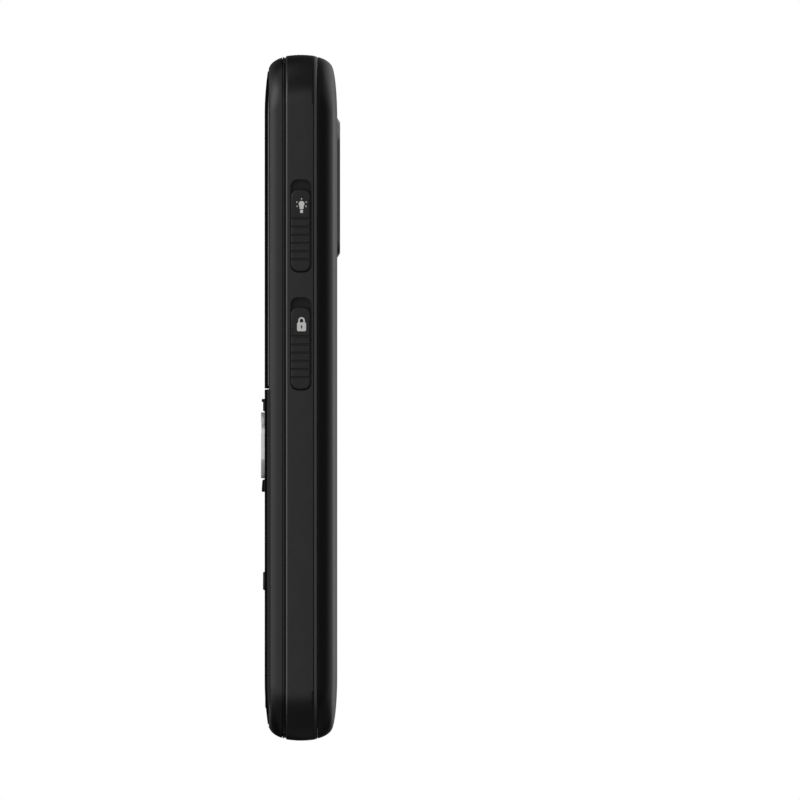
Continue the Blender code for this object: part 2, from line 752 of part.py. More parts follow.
def display():
    piece(
        "lcd_panel",
        block((-LCD_WIDTH / 2, LCD_FRONT_Y, LCD_BOTTOM), (LCD_WIDTH / 2, LCD_BACK_Y, LCD_TOP)),
        "gloss_black",
    )
    room = SEAT_GAP
    reach = room + SHEET_METAL
    tray = piece(
        "lcd_tray",
        block(
            (-LCD_WIDTH / 2 - reach, LCD_FRONT_Y + SHEET_METAL, LCD_BOTTOM - reach),
            (LCD_WIDTH / 2 + reach, TRAY_BACK_Y, LCD_TOP + reach),
        ),
        "steel",
    )
    pocket = block(
        (-LCD_WIDTH / 2 - room, LCD_FRONT_Y - OVERRUN, LCD_BOTTOM - room),
        (LCD_WIDTH / 2 + room, LCD_BACK_Y + room, LCD_TOP + room),
    )
    cut(tray, pocket, "pocket")


# The sockets' mouths are set this far inside the bottom end
SOCKET_SET = 0.0003
JACK_TOP = SIDE_WALL + SEAT_GAP + JACK_LENGTH
BOARD_RADIUS = 0.0065


def socket_notches(target, low_z, front_y, back_y):
    """Room in the board or the bulkhead for the charging socket and the headphone socket."""
    reach = USB_WIDTH / 2 + SEAM_GAP
    top = SOCKET_SET + USB_LENGTH + SEAM_GAP
    cut(target, block((-reach, front_y, low_z), (reach, back_y, top)), "usb_notch")
    reach = JACK_BODY / 2 + SEAM_GAP
    top = JACK_TOP + SEAM_GAP
    low = (JACK_OFFSET - reach, front_y, low_z)
    cut(target, block(low, (JACK_OFFSET + reach, back_y, top)), "jack_notch")


def main_board():
    board = piece(
        "main_board",
        block((-BOARD_X, BOARD_FRONT_Y, BOARD_LOW), (BOARD_X, BOARD_BACK_Y, BOARD_HIGH), BOARD_RADIUS),
        "board",
    )
    for name in SCREW_SPOTS:
        x, z = screw_place(name)
        radius = BOSS_RADIUS + SEAM_GAP
        hole = cylinder(
            (x, 0, z), radius, BOARD_FRONT_Y - OVERRUN, BOARD_BACK_Y + OVERRUN, steps=SMALL_STEPS
        )
        cut(board, hole, f"hole_{name}")
    socket_notches(board, 0, BOARD_FRONT_Y - OVERRUN, BOARD_BACK_Y + OVERRUN)


# The shield can covers the middle of the board
SHIELD_WIDTH = 0.034
SHIELD_LOW = 0.030
SHIELD_BELOW_CONTACTS = 0.0161
SHIELD_HIGH = BATTERY_TOP - SHIELD_BELOW_CONTACTS
# Domes under the keys, the earpiece and the microphone
DOME_RADIUS = 0.0018
EARPIECE_RADIUS = 0.002
MIC_BODY = 0.003
MIC_HEIGHT = 0.0008


def board_parts():
    """What is soldered to the board or clipped on it."""
    shield = piece(
        "shield_can",
        block((-SHIELD_WIDTH / 2, PARTS_Y, SHIELD_LOW), (SHIELD_WIDTH / 2, PARTS_BACK_Y, SHIELD_HIGH)),
        "steel",
    )
    inner = SHIELD_WIDTH / 2 - SHEET_METAL
    cut(
        shield,
        block(
            (-inner, PARTS_Y - OVERRUN, SHIELD_LOW + SHEET_METAL),
            (inner, PARTS_BACK_Y - SHEET_METAL, SHIELD_HIGH - SHEET_METAL),
        ),
        "hollow",
    )
    mat_low = KEYS_BOTTOM + KEY_FLANGE
    mat_x = KEYS_X
    piece(
        "keypad_mat",
        block((-mat_x, MAT_FRONT_Y, mat_low), (mat_x, MAT_BACK_Y, KEYPAD_HIGH - SEAT_GAP), KEYPAD_RADIUS),
        "rubber",
    )
    domes = piece(
        "dome_sheet",
        block(
            (KEY_FLANGE - mat_x, DOME_SHEET_FRONT_Y, mat_low + KEY_FLANGE),
            (mat_x - KEY_FLANGE, DOME_SHEET_BACK_Y, KEYPAD_HIGH - KEY_FLANGE),
            KEYPAD_RADIUS,
        ),
        "steel",
    )
    nav_reach = NAV_HEIGHT / 2 - DOME_RADIUS
    domed = [(x, z) for _, x, z, _, _ in key_places()]
    domed += [(0, NAV_Z), (0, NAV_Z + nav_reach), (0, NAV_Z - nav_reach)]
    start, end = DOME_SHEET_FRONT_Y - DOME_HEIGHT, DOME_SHEET_BACK_Y - DOME_SHEET_THICKNESS / 2
    bumps = bmesh.new()
    for x, z in domed:
        add_shape(bumps, cylinder((x, 0, z), DOME_RADIUS, start, end, steps=DOME_STEPS))
    join(domes, bumps, "domes")
    piece(
        "earpiece",
        block(
            (-EARPIECE_WIDTH / 2, LCD_FRONT_Y, LCD_TOP + SHEET_METAL + SEAM_GAP + SEAT_GAP),
            (EARPIECE_WIDTH / 2, BOARD_FRONT_Y - SEAT_GAP, HEIGHT - SIDE_WALL - BOARD_END_CLEARANCE),
            EARPIECE_RADIUS,
        ),
        "steel",
    )
    piece(
        "microphone",
        block(
            (-MIC_BODY / 2, BOARD_FRONT_Y - SEAT_GAP - MIC_HEIGHT, BOARD_LOW),
            (MIC_BODY / 2, BOARD_FRONT_Y - SEAT_GAP, mat_low - SEAT_GAP),
        ),
        "steel",
    )


# The small switches behind the sliders and the rocker
SWITCH_NUB = 0.0012
SWITCH_WIDTH = 0.0018
SWITCH_LENGTH = 0.0060
SWITCH_HEIGHT = 0.0014
# The rocker's stem and the little flange that keeps it in
STEM_WIDTH = 0.0018
STEM_LENGTH = 0.0036
STEM_FLANGE = 0.0009
# Room between the rocker's cap and the inside of the wall
ROCKER_ROOM = 0.0004
# Corner radius of a slot with round ends, as a share of half its width
ROUND_END_SHARE = 0.9
# Spring contacts for the battery, through the bulkhead just above it
CONTACTS_WIDTH = 0.011
CONTACTS_GAP = 0.0005
CONTACTS_DEPTH = 0.003
CONTACTS_HEIGHT = 0.0018
CONTACTS_LOW = BATTERY_TOP + CONTACTS_GAP
CONTACTS_HIGH = CONTACTS_LOW + CONTACTS_DEPTH


def mid_frame():
    near = BAND_HALF - BAND_CHAMFER_RUN
    section = [
        (BULKHEAD_FRONT_Y, SIDE_WALL),
        *lip_section(MID_Y - BAND_HALF, SIDE_WALL),
        (MID_Y - BAND_HALF, BAND_CHAMFER_INSET),
        (MID_Y - near, 0),
        (MID_Y + near, 0),
        (MID_Y + BAND_HALF, BAND_CHAMFER_INSET),
        (MID_Y + BAND_HALF, SIDE_WALL),
        (BULKHEAD_BACK_Y, SIDE_WALL),
    ]
    frame = piece("mid_frame", body_loft(section), "shell")
    add_tower(frame)
    add_ribs(frame)
    for name in SCREW_SPOTS:
        x, z = screw_place(name)
        hole = cylinder(
            (x, 0, z),
            SCREW_RADIUS + SEAT_GAP,
            BULKHEAD_FRONT_Y - OVERRUN,
            BULKHEAD_BACK_Y + OVERRUN,
            steps=SMALL_STEPS,
        )
        cut(frame, hole, f"hole_{name}")
    cut_side_slots(frame)
    cut_end_openings(frame)
    slit = CONTACTS_WIDTH / 2 + SEAM_GAP
    cut(
        frame,
        block(
            (-slit, BULKHEAD_FRONT_Y - OVERRUN, CONTACTS_LOW - SEAM_GAP),
            (slit, BULKHEAD_BACK_Y + OVERRUN, CONTACTS_HIGH + SEAM_GAP),
        ),
        "contacts_slit",
    )


def add_tower(frame):
    """The hollow tower that carries the camera island through the battery cover."""
    tower_x = ISLAND_WIDTH / 2
    tower = block(
        (-tower_x, BULKHEAD_BACK_Y - BULKHEAD_THICKNESS / 2, ISLAND_BOTTOM),
        (tower_x, ISLAND_BACK_Y - SEAT_GAP, ISLAND_TOP),
        ISLAND_RADIUS,
    )
    join(frame, tower, "island_tower")
    well = block(
        (TOWER_WALL - tower_x, BULKHEAD_BACK_Y, ISLAND_BOTTOM + TOWER_WALL),
        (tower_x - TOWER_WALL, ISLAND_BACK_Y + OVERRUN, ISLAND_TOP - TOWER_WALL),
        ISLAND_RADIUS - TOWER_WALL,
    )
    cut(frame, well, "island_well")


def add_ribs(frame):
    """Low ribs round three sides of the battery."""
    rib_in = BATTERY_WIDTH / 2 + SEAM_GAP
    rib_out = rib_in + RIB_THICKNESS
    root, top = BULKHEAD_BACK_Y - BULKHEAD_THICKNESS / 2, BULKHEAD_BACK_Y + RIB_HEIGHT
    shelf = BATTERY_BOTTOM - SEAM_GAP
    for name, low_x, high_x, high_z in (
        ("left_rib", -rib_out, -rib_in, BATTERY_TOP),
        ("right_rib", rib_in, rib_out, BATTERY_TOP),
        ("lower_rib", -rib_out, rib_out, shelf),
    ):
        join(frame, block((low_x, root, shelf - RIB_THICKNESS), (high_x, top, high_z)), name)


def cut_side_slots(frame):
    """Slots for the two sliders on the right and for the volume rocker on the left."""
    outer = HALF_WIDTH + OVERRUN
    half = SLOT_LENGTH / 2
    for name, z in (("torch_slot", TORCH_SLOT_Z), ("lock_slot", LOCK_SLOT_Z)):
        low = (WALL_X - OVERRUN, MID_Y - SLOT_WIDTH / 2, z - half)
        high = (outer, MID_Y + SLOT_WIDTH / 2, z + half)
        cut(frame, block(low, high, SLOT_RADIUS, "X"), name)
    half = ROCKER_LENGTH / 2 + SEAT_GAP
    reach = ROCKER_WIDTH / 2 + RUN_GAP
    low = (-outer, MID_Y - reach, ROCKER_Z - half)
    high = (OVERRUN - WALL_X, MID_Y + reach, ROCKER_Z + half)
    cut(frame, block(low, high, reach * ROUND_END_SHARE, "X"), "rocker_slot")
    near, far = WALL_X - SEAT_GAP - SIDE_FLANGE - SEAM_GAP, WALL_X
    lap = SLIDE_TRAVEL + SLOT_LAP + SEAM_GAP
    low_z, high_z = LOCK_SLOT_Z - SLOT_LENGTH / 2 - lap, TORCH_SLOT_Z + SLOT_LENGTH / 2 + lap
    front, back = BULKHEAD_FRONT_Y - OVERRUN, BULKHEAD_BACK_Y + OVERRUN
    cut(frame, block((near, front, low_z), (far, back, high_z)), "slider_room")
    reach = STEM_LENGTH / 2 + STEM_FLANGE + SEAM_GAP
    near -= SEAM_GAP
    cut(frame, block((-far, front, ROCKER_Z - reach), (-near, back, ROCKER_Z + reach)), "rocker_room")


def cut_end_openings(frame):
    """Openings for the two sockets at the bottom and for the torch at the top."""
    usb_x, usb_y = USB_WIDTH / 2 + SEAT_GAP, USB_DEPTH / 2 + SEAT_GAP
    low = (-usb_x, MID_Y - usb_y, -OVERRUN)
    high = (usb_x, MID_Y + usb_y, SIDE_WALL + OVERRUN)
    cut(frame, block(low, high, usb_y * ROUND_END_SHARE, "Z"), "usb_mouth")
    mouth = JACK_NOSE + RUN_GAP
    cut(frame, cylinder((JACK_OFFSET, MID_Y, 0), mouth, -OVERRUN, SIDE_WALL + OVERRUN, "Z"), "jack_mouth")
    socket_notches(frame, SIDE_WALL, BULKHEAD_FRONT_Y - OVERRUN, BULKHEAD_BACK_Y + OVERRUN)
    start, end = HEIGHT - SIDE_WALL - OVERRUN, HEIGHT + OVERRUN
    cut(frame, cylinder((0, MID_Y, 0), TORCH_RADIUS + RUN_GAP, start, end, "Z"), "torch_mouth")


def slider_shape(slot_z):
    """A ribbed slider resting at the lower end of its slot, with a flange behind the wall."""
    low_z = slot_z - SLOT_LENGTH / 2 + RUN_GAP
    high_z = slot_z + SLOT_LENGTH / 2 - RUN_GAP - SLIDE_TRAVEL
    half = SLOT_WIDTH / 2 - RUN_GAP
    flange_x = WALL_X - SEAT_GAP
    lap = SLIDE_TRAVEL + SLOT_LAP
    bm = block(
        (flange_x - SIDE_FLANGE, MID_Y - half - SLOT_LAP, low_z - lap),
        (flange_x, MID_Y + half + SLOT_LAP, high_z + lap),
        SLOT_RADIUS,
        "X",
    )
    cap_end = HALF_WIDTH + SIDE_PROUD
    cap = block(
        (flange_x, MID_Y - half, low_z), (cap_end, MID_Y + half, high_z), SLOT_RADIUS, "X"
    )
    round_rim(cap, "X", 1, SIDE_PROUD, 1)
    grooves = bmesh.new()
    for n in range(GROOVE_COUNT):
        z = low_z + GROOVE_FIRST + n * GROOVE_SPACING
        bar = block(
            (cap_end - GROOVE_DEPTH, MID_Y - SLOT_WIDTH, z - GROOVE_WIDTH / 2),
            (HALF_WIDTH + OVERRUN, MID_Y + SLOT_WIDTH, z + GROOVE_WIDTH / 2),
        )
        add_shape(grooves, bar)
    return bm, cap, grooves


def sliders():
    for name, slot_z in (("torch", TORCH_SLOT_Z), ("lock", LOCK_SLOT_Z)):
        flange, cap, grooves = slider_shape(slot_z)
        slider = piece(f"{name}_slider", flange, "key", (HALF_WIDTH, MID_Y, slot_z))
        join(slider, cap, "cap")
        cut(slider, grooves, "grooves")
        half = SWITCH_NUB / 2
        nub_end = WALL_X - SEAT_GAP - SIDE_FLANGE
        nub_z = slot_z - SLIDE_TRAVEL / 2
        nub = block(
            (nub_end - SIDE_NUB, MID_Y - half, nub_z - half),
            (nub_end + SIDE_FLANGE / 2, MID_Y + half, nub_z + half),
        )
        join(slider, nub, "nub")
        edge = nub_end - SIDE_NUB - SEAM_GAP
        piece(
            f"{name}_switch",
            block(
                (edge - SWITCH_WIDTH, PARTS_Y, slot_z - SWITCH_LENGTH / 2),
                (edge, PARTS_Y + SWITCH_HEIGHT, slot_z + SWITCH_LENGTH / 2),
            ),
            "steel",
        )


def volume_rocker():
    pivot_x = -WALL_X
    half = ROCKER_WIDTH / 2
    cap = block(
        (-HALF_WIDTH - SIDE_PROUD, MID_Y - half, ROCKER_Z - ROCKER_LENGTH / 2),
        (-WALL_X - ROCKER_ROOM, MID_Y + half, ROCKER_Z + ROCKER_LENGTH / 2),
        half * ROUND_END_SHARE,
        "X",
    )
    round_rim(cap, "X", -1, SIDE_PROUD, 1)
    rocker = piece("volume_rocker", cap, "key", (pivot_x, MID_Y, ROCKER_Z))
    flange_x = SEAM_GAP - WALL_X
    half_y, half_z = STEM_WIDTH / 2, STEM_LENGTH / 2
    stem = block(
        (-WALL_X - 2 * ROCKER_ROOM, MID_Y - half_y, ROCKER_Z - half_z),
        (flange_x + SIDE_FLANGE / 2, MID_Y + half_y, ROCKER_Z + half_z),
    )
    join(rocker, stem, "stem")
    half_y, half_z = ROCKER_WIDTH / 2 + SLOT_LAP, half_z + STEM_FLANGE
    flange = block(
        (flange_x, MID_Y - half_y, ROCKER_Z - half_z),
        (flange_x + SIDE_FLANGE, MID_Y + half_y, ROCKER_Z + half_z),
    )
    join(rocker, flange, "flange")
    edge = flange_x + SIDE_FLANGE + 2 * SEAT_GAP
    piece(
        "volume_switch",
        block(
            (edge, PARTS_Y, ROCKER_Z - SWITCH_LENGTH / 2),
            (edge + SWITCH_WIDTH, PARTS_Y + SWITCH_HEIGHT, ROCKER_Z + SWITCH_LENGTH / 2),
        ),
        "steel",
    )


# Rings of the cover's hollow: depth as a share of the way in, wall as a share of the edge wall
COVER_RING_SHARES = ((1.0, 2.0), (0.92, 1.25), (0.78, 1.0))
# Loudspeaker and the slits over it
SPEAKER_X = -0.0095
SPEAKER_WIDTH = 0.014
SPEAKER_LOW = 0.0092
SPEAKER_HIGH = 0.0202
SPEAKER_DEPTH = 0.0034
SPEAKER_BACK_Y = BAY_Y + SPEAKER_DEPTH
GRILLE_SLITS = 5
GRILLE_LENGTH = 0.010
GRILLE_SLIT = 0.0009


def battery_cover():
    section = []
    for share, wall in COVER_RING_SHARES:
        depth = (COVER_INNER_Y - MID_Y) * share
        section.append((MID_Y + depth, edge_inset(min(depth, EDGE_DEPTH)) + COVER_EDGE_WALL * wall))
    section += lip_section(MID_Y + SHELL_START, edge_inset(SHELL_START) + COVER_EDGE_WALL)
    section += edge_section(1)
    for share in CROWN_RING_SHARES:
        inset = EDGE_INSET + (CROWN_INSET - EDGE_INSET) * share
        section.append((BACK_Y - CROWN_RISE * (1 - share) ** 2, inset))
    cover = piece("battery_cover", body_loft(section), "shell")
    reach = ISLAND_WIDTH / 2 + SEAM_GAP
    opening = block(
        (-reach, MID_Y, ISLAND_BOTTOM - SEAM_GAP),
        (reach, ISLAND_FACE_Y + OVERRUN, ISLAND_TOP + SEAM_GAP),
        ISLAND_RADIUS + SEAM_GAP,
    )
    cut(cover, opening, "island_opening")
    slits = bmesh.new()
    for n in range(GRILLE_SLITS):
        z = SPEAKER_LOW + (SPEAKER_HIGH - SPEAKER_LOW) * (n + 1) / (GRILLE_SLITS + 1)
        add_shape(
            slits,
            block(
                (SPEAKER_X - GRILLE_LENGTH / 2, SPEAKER_BACK_Y, z - GRILLE_SLIT / 2),
                (SPEAKER_X + GRILLE_LENGTH / 2, BACK_Y + OVERRUN, z + GRILLE_SLIT / 2),
                GRILLE_SLIT / 2 * ROUND_END_SHARE,
            ),
        )
    cut(cover, slits, "grille")


CAMERA_WIDTH = 0.0085
CAMERA_DEPTH = 0.0032


def camera_island():
    plate = block(
        (-ISLAND_WIDTH / 2, ISLAND_BACK_Y, ISLAND_BOTTOM),
        (ISLAND_WIDTH / 2, BACK_Y, ISLAND_TOP),
        ISLAND_RADIUS,
    )
    narrow(plate, "Y", 1, ISLAND_RAMP, ISLAND_PROUD)
    island = piece("back_island_plate", plate, "gloss_black")
    centre = (0, 0, CAMERA_Z)
    start, end = ISLAND_BACK_Y - OVERRUN, ISLAND_FACE_Y + OVERRUN
    seat_y = ISLAND_FACE_Y - WINDOW_THICKNESS - SEAT_GAP
    cut(island, cylinder(centre, WINDOW_RADIUS + RUN_GAP, seat_y, end), "window_seat")
    cut(island, cylinder(centre, WINDOW_RADIUS - WINDOW_LEDGE, start, end), "window_hole")
    sos = (0, 0, SOS_Z)
    cut(island, cylinder(sos, SOS_RADIUS + RUN_GAP, start, end), "sos_hole")
    window = cylinder(centre, WINDOW_RADIUS, seat_y + SEAT_GAP, ISLAND_FACE_Y)
    round_rim(window, "Y", 1, RUN_GAP, 1)
    piece("camera_window", window, "clear")
    flange_back = ISLAND_BACK_Y - SEAT_GAP
    button = cylinder(sos, SOS_RADIUS + SOS_FLANGE, flange_back - SOS_FLANGE, flange_back)
    narrow(button, "Y", 1, SOS_FLANGE, 0)
    extend(button, "Y", 1, ISLAND_FACE_Y - SOS_SUNK - flange_back)
    round_rim(button, "Y", 1, KEY_RIM, 1)
    piece("sos_button", button, "key", (0, ISLAND_FACE_Y, SOS_Z))
    half = SWITCH_LENGTH / 3
    top = flange_back - SOS_FLANGE - SOS_TRAVEL - RUN_GAP
    switch = piece(
        "sos_switch",
        block((-half, BAY_Y, SOS_Z - half), (half, top - SOS_FLANGE, SOS_Z + half)),
        "steel",
    )
    join(switch, cylinder(sos, half / 2, top - 2 * SOS_FLANGE, top, steps=SMALL_STEPS), "plunger")
    half = CAMERA_WIDTH / 2
    camera = piece(
        "camera_module",
        block((-half, BAY_Y, CAMERA_Z - half), (half, BAY_Y + CAMERA_DEPTH, CAMERA_Z + half)),
        "gloss_black",
    )
    radius = WINDOW_RADIUS - WINDOW_LEDGE
    start, end = BAY_Y + CAMERA_DEPTH / 2, ISLAND_BACK_Y - SEAT_GAP
    barrel = cylinder(centre, radius, start, end, steps=SMALL_STEPS)
    join(camera, barrel, "barrel")


# Nano SIM card and its holder
SIM_X = 0.0075
SIM_WIDTH = 0.0123
SIM_LENGTH = 0.0100
SIM_DEPTH = 0.0015
SIM_SHEET = 0.00025


def battery_bay():
    """Battery, its contacts, the SIM card in its holder, the loudspeaker and the buzzer motor."""
    piece(
        "battery",
        block(
            (-BATTERY_WIDTH / 2, BAY_Y, BATTERY_BOTTOM),
            (BATTERY_WIDTH / 2, COVER_INNER_Y - SEAM_GAP, BATTERY_TOP),
            BATTERY_RADIUS,
            "Z",
        ),
        "label",
    )
    half = CONTACTS_WIDTH / 2
    piece(
        "battery_contacts",
        block((-half, PARTS_Y, CONTACTS_LOW), (half, BAY_Y + CONTACTS_HEIGHT, CONTACTS_HIGH)),
        "gloss_black",
    )
    sim_low, sim_high = CONTACTS_LOW, CONTACTS_LOW + SIM_LENGTH
    slot_x, slot_end = SIM_X + SIM_SHEET, SIM_X + SIM_SHEET + SIM_WIDTH + 2 * RUN_GAP
    slot_y, slot_back = BAY_Y + SIM_SHEET, BAY_Y + SIM_DEPTH - SIM_SHEET
    holder = piece(
        "sim_holder",
        block((SIM_X, BAY_Y, sim_low), (slot_end + SIM_SHEET, BAY_Y + SIM_DEPTH, sim_high)),
        "steel",
    )
    cut(
        holder,
        block((slot_x, slot_y, sim_low - OVERRUN), (slot_end, slot_back, sim_high - SIM_SHEET)),
        "slot",
    )
    piece(
        "sim_card",
        block(
            (slot_x + RUN_GAP, slot_y + RUN_GAP, sim_low + SIM_SHEET),
            (slot_end - RUN_GAP, slot_back - RUN_GAP, sim_high - 2 * SIM_SHEET),
        ),
        "white",
    )
    piece(
        "loudspeaker",
        block(
            (SPEAKER_X - SPEAKER_WIDTH / 2, BAY_Y, SPEAKER_LOW),
            (SPEAKER_X + SPEAKER_WIDTH / 2, SPEAKER_BACK_Y, SPEAKER_HIGH),
            EARPIECE_RADIUS,
        ),
        "gloss_black",
    )
    buzzer_motor()


MOTOR_X = 0.001
MOTOR_Z = 0.0175
MOTOR_RADIUS = 0.0018
MOTOR_LENGTH = 0.008
WEIGHT_GAP = 0.0003
WEIGHT_LENGTH = 0.003
# How far the weight reaches above its shaft's middle, as a share of its radius
WEIGHT_TOP_SHARE = 0.2
SHAFT_RADIUS = 0.0006


def buzzer_motor():
    """A round motor lying across the phone, with half a disc on its shaft that hangs down at rest."""
    axis_y = BAY_Y + MOTOR_RADIUS
    centre = (0, axis_y, MOTOR_Z)
    piece(
        "vibration_motor",
        cylinder(centre, MOTOR_RADIUS, MOTOR_X, MOTOR_X + MOTOR_LENGTH, "X", BARREL_STEPS),
        "steel",
    )
    start = MOTOR_X + MOTOR_LENGTH + RUN_GAP
    end = start + WEIGHT_GAP + WEIGHT_LENGTH
    half_disc = cylinder(centre, MOTOR_RADIUS - RUN_GAP, start + WEIGHT_GAP, end, "X", SMALL_STEPS)
    above = [v for v in half_disc.verts if v.co.z > MOTOR_Z]
    for vert in above:
        vert.co.z = MOTOR_Z + (vert.co.z - MOTOR_Z) * WEIGHT_TOP_SHARE
    weight = piece("motor_weight", half_disc, "steel", (start, axis_y, MOTOR_Z))
    shaft = cylinder(centre, SHAFT_RADIUS, start, end + RUN_GAP, "X", steps=FINE_STEPS)
    join(weight, shaft, "shaft")


USB_BACK = 0.001
USB_TONGUE = 0.0007
USB_TONGUE_WIDTH = 0.0067
TORCH_LED = 0.003


def end_parts():
    """The two sockets at the bottom and the torch at the top."""
    usb = piece(
        "usb_socket",
        block(
            (-USB_WIDTH / 2, MID_Y - USB_DEPTH / 2, SOCKET_SET),
            (USB_WIDTH / 2, MID_Y + USB_DEPTH / 2, SOCKET_SET + USB_LENGTH),
            USB_DEPTH / 2 * ROUND_END_SHARE,
            "Z",
        ),
        "steel",
    )
    inner_x, inner_y = USB_WIDTH / 2 - USB_WALL, USB_DEPTH / 2 - USB_WALL
    hollow = block(
        (-inner_x, MID_Y - inner_y, -OVERRUN),
        (inner_x, MID_Y + inner_y, SOCKET_SET + USB_LENGTH - USB_BACK),
        inner_y * ROUND_END_SHARE,
        "Z",
    )
    cut(usb, hollow, "hollow")
    tongue = block(
        (-USB_TONGUE_WIDTH / 2, MID_Y - USB_TONGUE / 2, SOCKET_SET + USB_BACK),
        (USB_TONGUE_WIDTH / 2, MID_Y + USB_TONGUE / 2, SOCKET_SET + USB_LENGTH - USB_BACK / 2),
    )
    join(usb, tongue, "tongue")
    half = JACK_BODY / 2
    jack = piece(
        "headphone_socket",
        block(
            (JACK_OFFSET - half, MID_Y - half, SIDE_WALL + SEAT_GAP),
            (JACK_OFFSET + half, MID_Y + half, JACK_TOP),
        ),
        "gloss_black",
    )
    centre = (JACK_OFFSET, MID_Y, 0)
    join(jack, cylinder(centre, JACK_NOSE, SOCKET_SET, SIDE_WALL + half, "Z"), "nose")
    bore = cylinder(centre, JACK_BORE, -OVERRUN, JACK_TOP - USB_BACK, "Z", BARREL_STEPS)
    cut(jack, bore, "bore")
    lens = cylinder((0, MID_Y, 0), TORCH_RADIUS, HEIGHT - SIDE_WALL, HEIGHT - RUN_GAP, "Z")
    round_rim(lens, "Z", 1, RUN_GAP, 1)
    piece("torch_lens", lens, "clear")
    half = TORCH_LED / 2
    led_top = HEIGHT - SIDE_WALL - SEAT_GAP
    piece(
        "torch_led",
        block((-half, PARTS_Y, led_top - TORCH_LED), (half, PARTS_BACK_Y, led_top)),
        "white",
    )


SCREW_MERGE = 0.00001


def screws():
    """Screws from the battery bay through the bulkhead into the front shell's bosses."""
    head_y = BULKHEAD_BACK_Y + SEAT_GAP / 2
    for name in SCREW_SPOTS:
        x, z = screw_place(name)
        profile = bmesh.new()
        points = (
            (0, SCREW_HEAD),
            (SCREW_HEAD_RADIUS - RUN_GAP, SCREW_HEAD),
            (SCREW_HEAD_RADIUS, SCREW_HEAD - RUN_GAP),
            (SCREW_HEAD_RADIUS, 0),
            (SCREW_RADIUS, 0),
            (SCREW_RADIUS, SEAT_GAP - SCREW_GRIP),
            (0, -SCREW_GRIP),
        )
        verts = [profile.verts.new((radius, 0, up)) for radius, up in points]
        for first, second in zip(verts, verts[1:]):
            profile.edges.new((first, second))
        screw = piece(name, profile, "steel")
        screw.location = (x, head_y, z)
        screw.rotation_euler = (-math.pi / 2, 0, 0)
        turn = screw.modifiers.new("turned", "SCREW")
        turn.axis = "Z"
        turn.steps = turn.render_steps = SMALL_STEPS
        turn.use_merge_vertices = True
        turn.merge_threshold = SCREW_MERGE


front_shell()
display_lens()
earpiece_mesh()
keypad_bezel()
keys()
nav_rocker()
ok_key()
display()
main_board()
board_parts()
mid_frame()
sliders()
volume_rocker()
battery_cover()
camera_island()
battery_bay()
end_parts()
screws()
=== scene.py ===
"""Keypad mobile phone with large keys, two side sliders and a camera island, dressed for the camera.

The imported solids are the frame. Each section below makes one piece, or a group of like pieces, at its place on
that frame: +Z up the phone, -Y out of the display, +X towards the sliders, all in metres.
"""

import math

import bmesh
import bpy
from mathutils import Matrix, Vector


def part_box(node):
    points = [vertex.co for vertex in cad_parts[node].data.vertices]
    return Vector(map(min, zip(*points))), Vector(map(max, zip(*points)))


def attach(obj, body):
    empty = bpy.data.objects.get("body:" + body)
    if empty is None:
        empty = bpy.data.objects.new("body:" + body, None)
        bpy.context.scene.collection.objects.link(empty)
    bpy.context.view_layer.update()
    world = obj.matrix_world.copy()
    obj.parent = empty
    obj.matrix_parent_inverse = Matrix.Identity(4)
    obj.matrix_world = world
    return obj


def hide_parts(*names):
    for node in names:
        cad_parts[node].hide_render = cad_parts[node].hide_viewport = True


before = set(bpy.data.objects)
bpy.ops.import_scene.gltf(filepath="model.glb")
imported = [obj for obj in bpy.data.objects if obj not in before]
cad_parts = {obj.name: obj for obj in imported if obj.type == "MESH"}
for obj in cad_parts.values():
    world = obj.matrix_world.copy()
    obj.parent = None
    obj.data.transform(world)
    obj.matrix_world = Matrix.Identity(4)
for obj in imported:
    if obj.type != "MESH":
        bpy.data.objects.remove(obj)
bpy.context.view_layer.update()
bpy.ops.object.select_all(action="DESELECT")

# Camera and studio. The camera looks squarely at the phone's right side, from level with its middle. A white
# surround fills the view and shows in gloss, except for dark flags beside the back edge and beyond both ends,
# which draw the long shadows down the back shell and the dark corners. Two soft lamps do the rest.
bpy.ops.object.camera_add(location=(0.6, 0.019435, 0.06656), rotation=(math.pi / 2, 0, math.pi / 2))
camera = bpy.context.object
camera.data.type = "ORTHO"
camera.data.ortho_scale = 0.1563
camera.data.clip_start = 0.01
bpy.context.scene.camera = camera
bpy.context.scene.view_settings.view_transform = "Standard"


def add_node(tree, kind, inputs=None, **settings):
    """A shader node with its settings, and its inputs set to values or linked to other nodes' outputs."""
    made = tree.nodes.new("ShaderNode" + kind)
    for name, value in settings.items():
        setattr(made, name, value)
    for name, value in (inputs or {}).items():
        if isinstance(value, bpy.types.NodeSocket):
            tree.links.new(value, made.inputs[name])
        else:
            made.inputs[name].default_value = value
    return made


def math_node(tree, operation, *values):
    """The result of one sum over values and other nodes' outputs."""
    return add_node(tree, "Math", dict(enumerate(values)), operation=operation).outputs[0]


def ramp_node(tree, value, start, end, low, high):
    """A smooth change from low to high while the value goes from start to end."""
    made = add_node(tree, "MapRange", {0: value, 1: start, 2: end, 3: low, 4: high})
    made.interpolation_type = "SMOOTHSTEP"
    return made.outputs[0]


world = bpy.data.worlds.new("studio_surround")
bpy.context.scene.world = world
world.use_nodes = True
tree = world.node_tree
tree.nodes.clear()
direction = add_node(tree, "TexCoord").outputs["Generated"]
height = add_node(tree, "SeparateXYZ", {0: direction}).outputs["Z"]
above = ramp_node(tree, height, 0.30, 0.70, 0.90, 0.10)
below = ramp_node(tree, height, -0.40, -0.06, 0.12, 1.0)
ring = math_node(tree, "MULTIPLY", above, below)
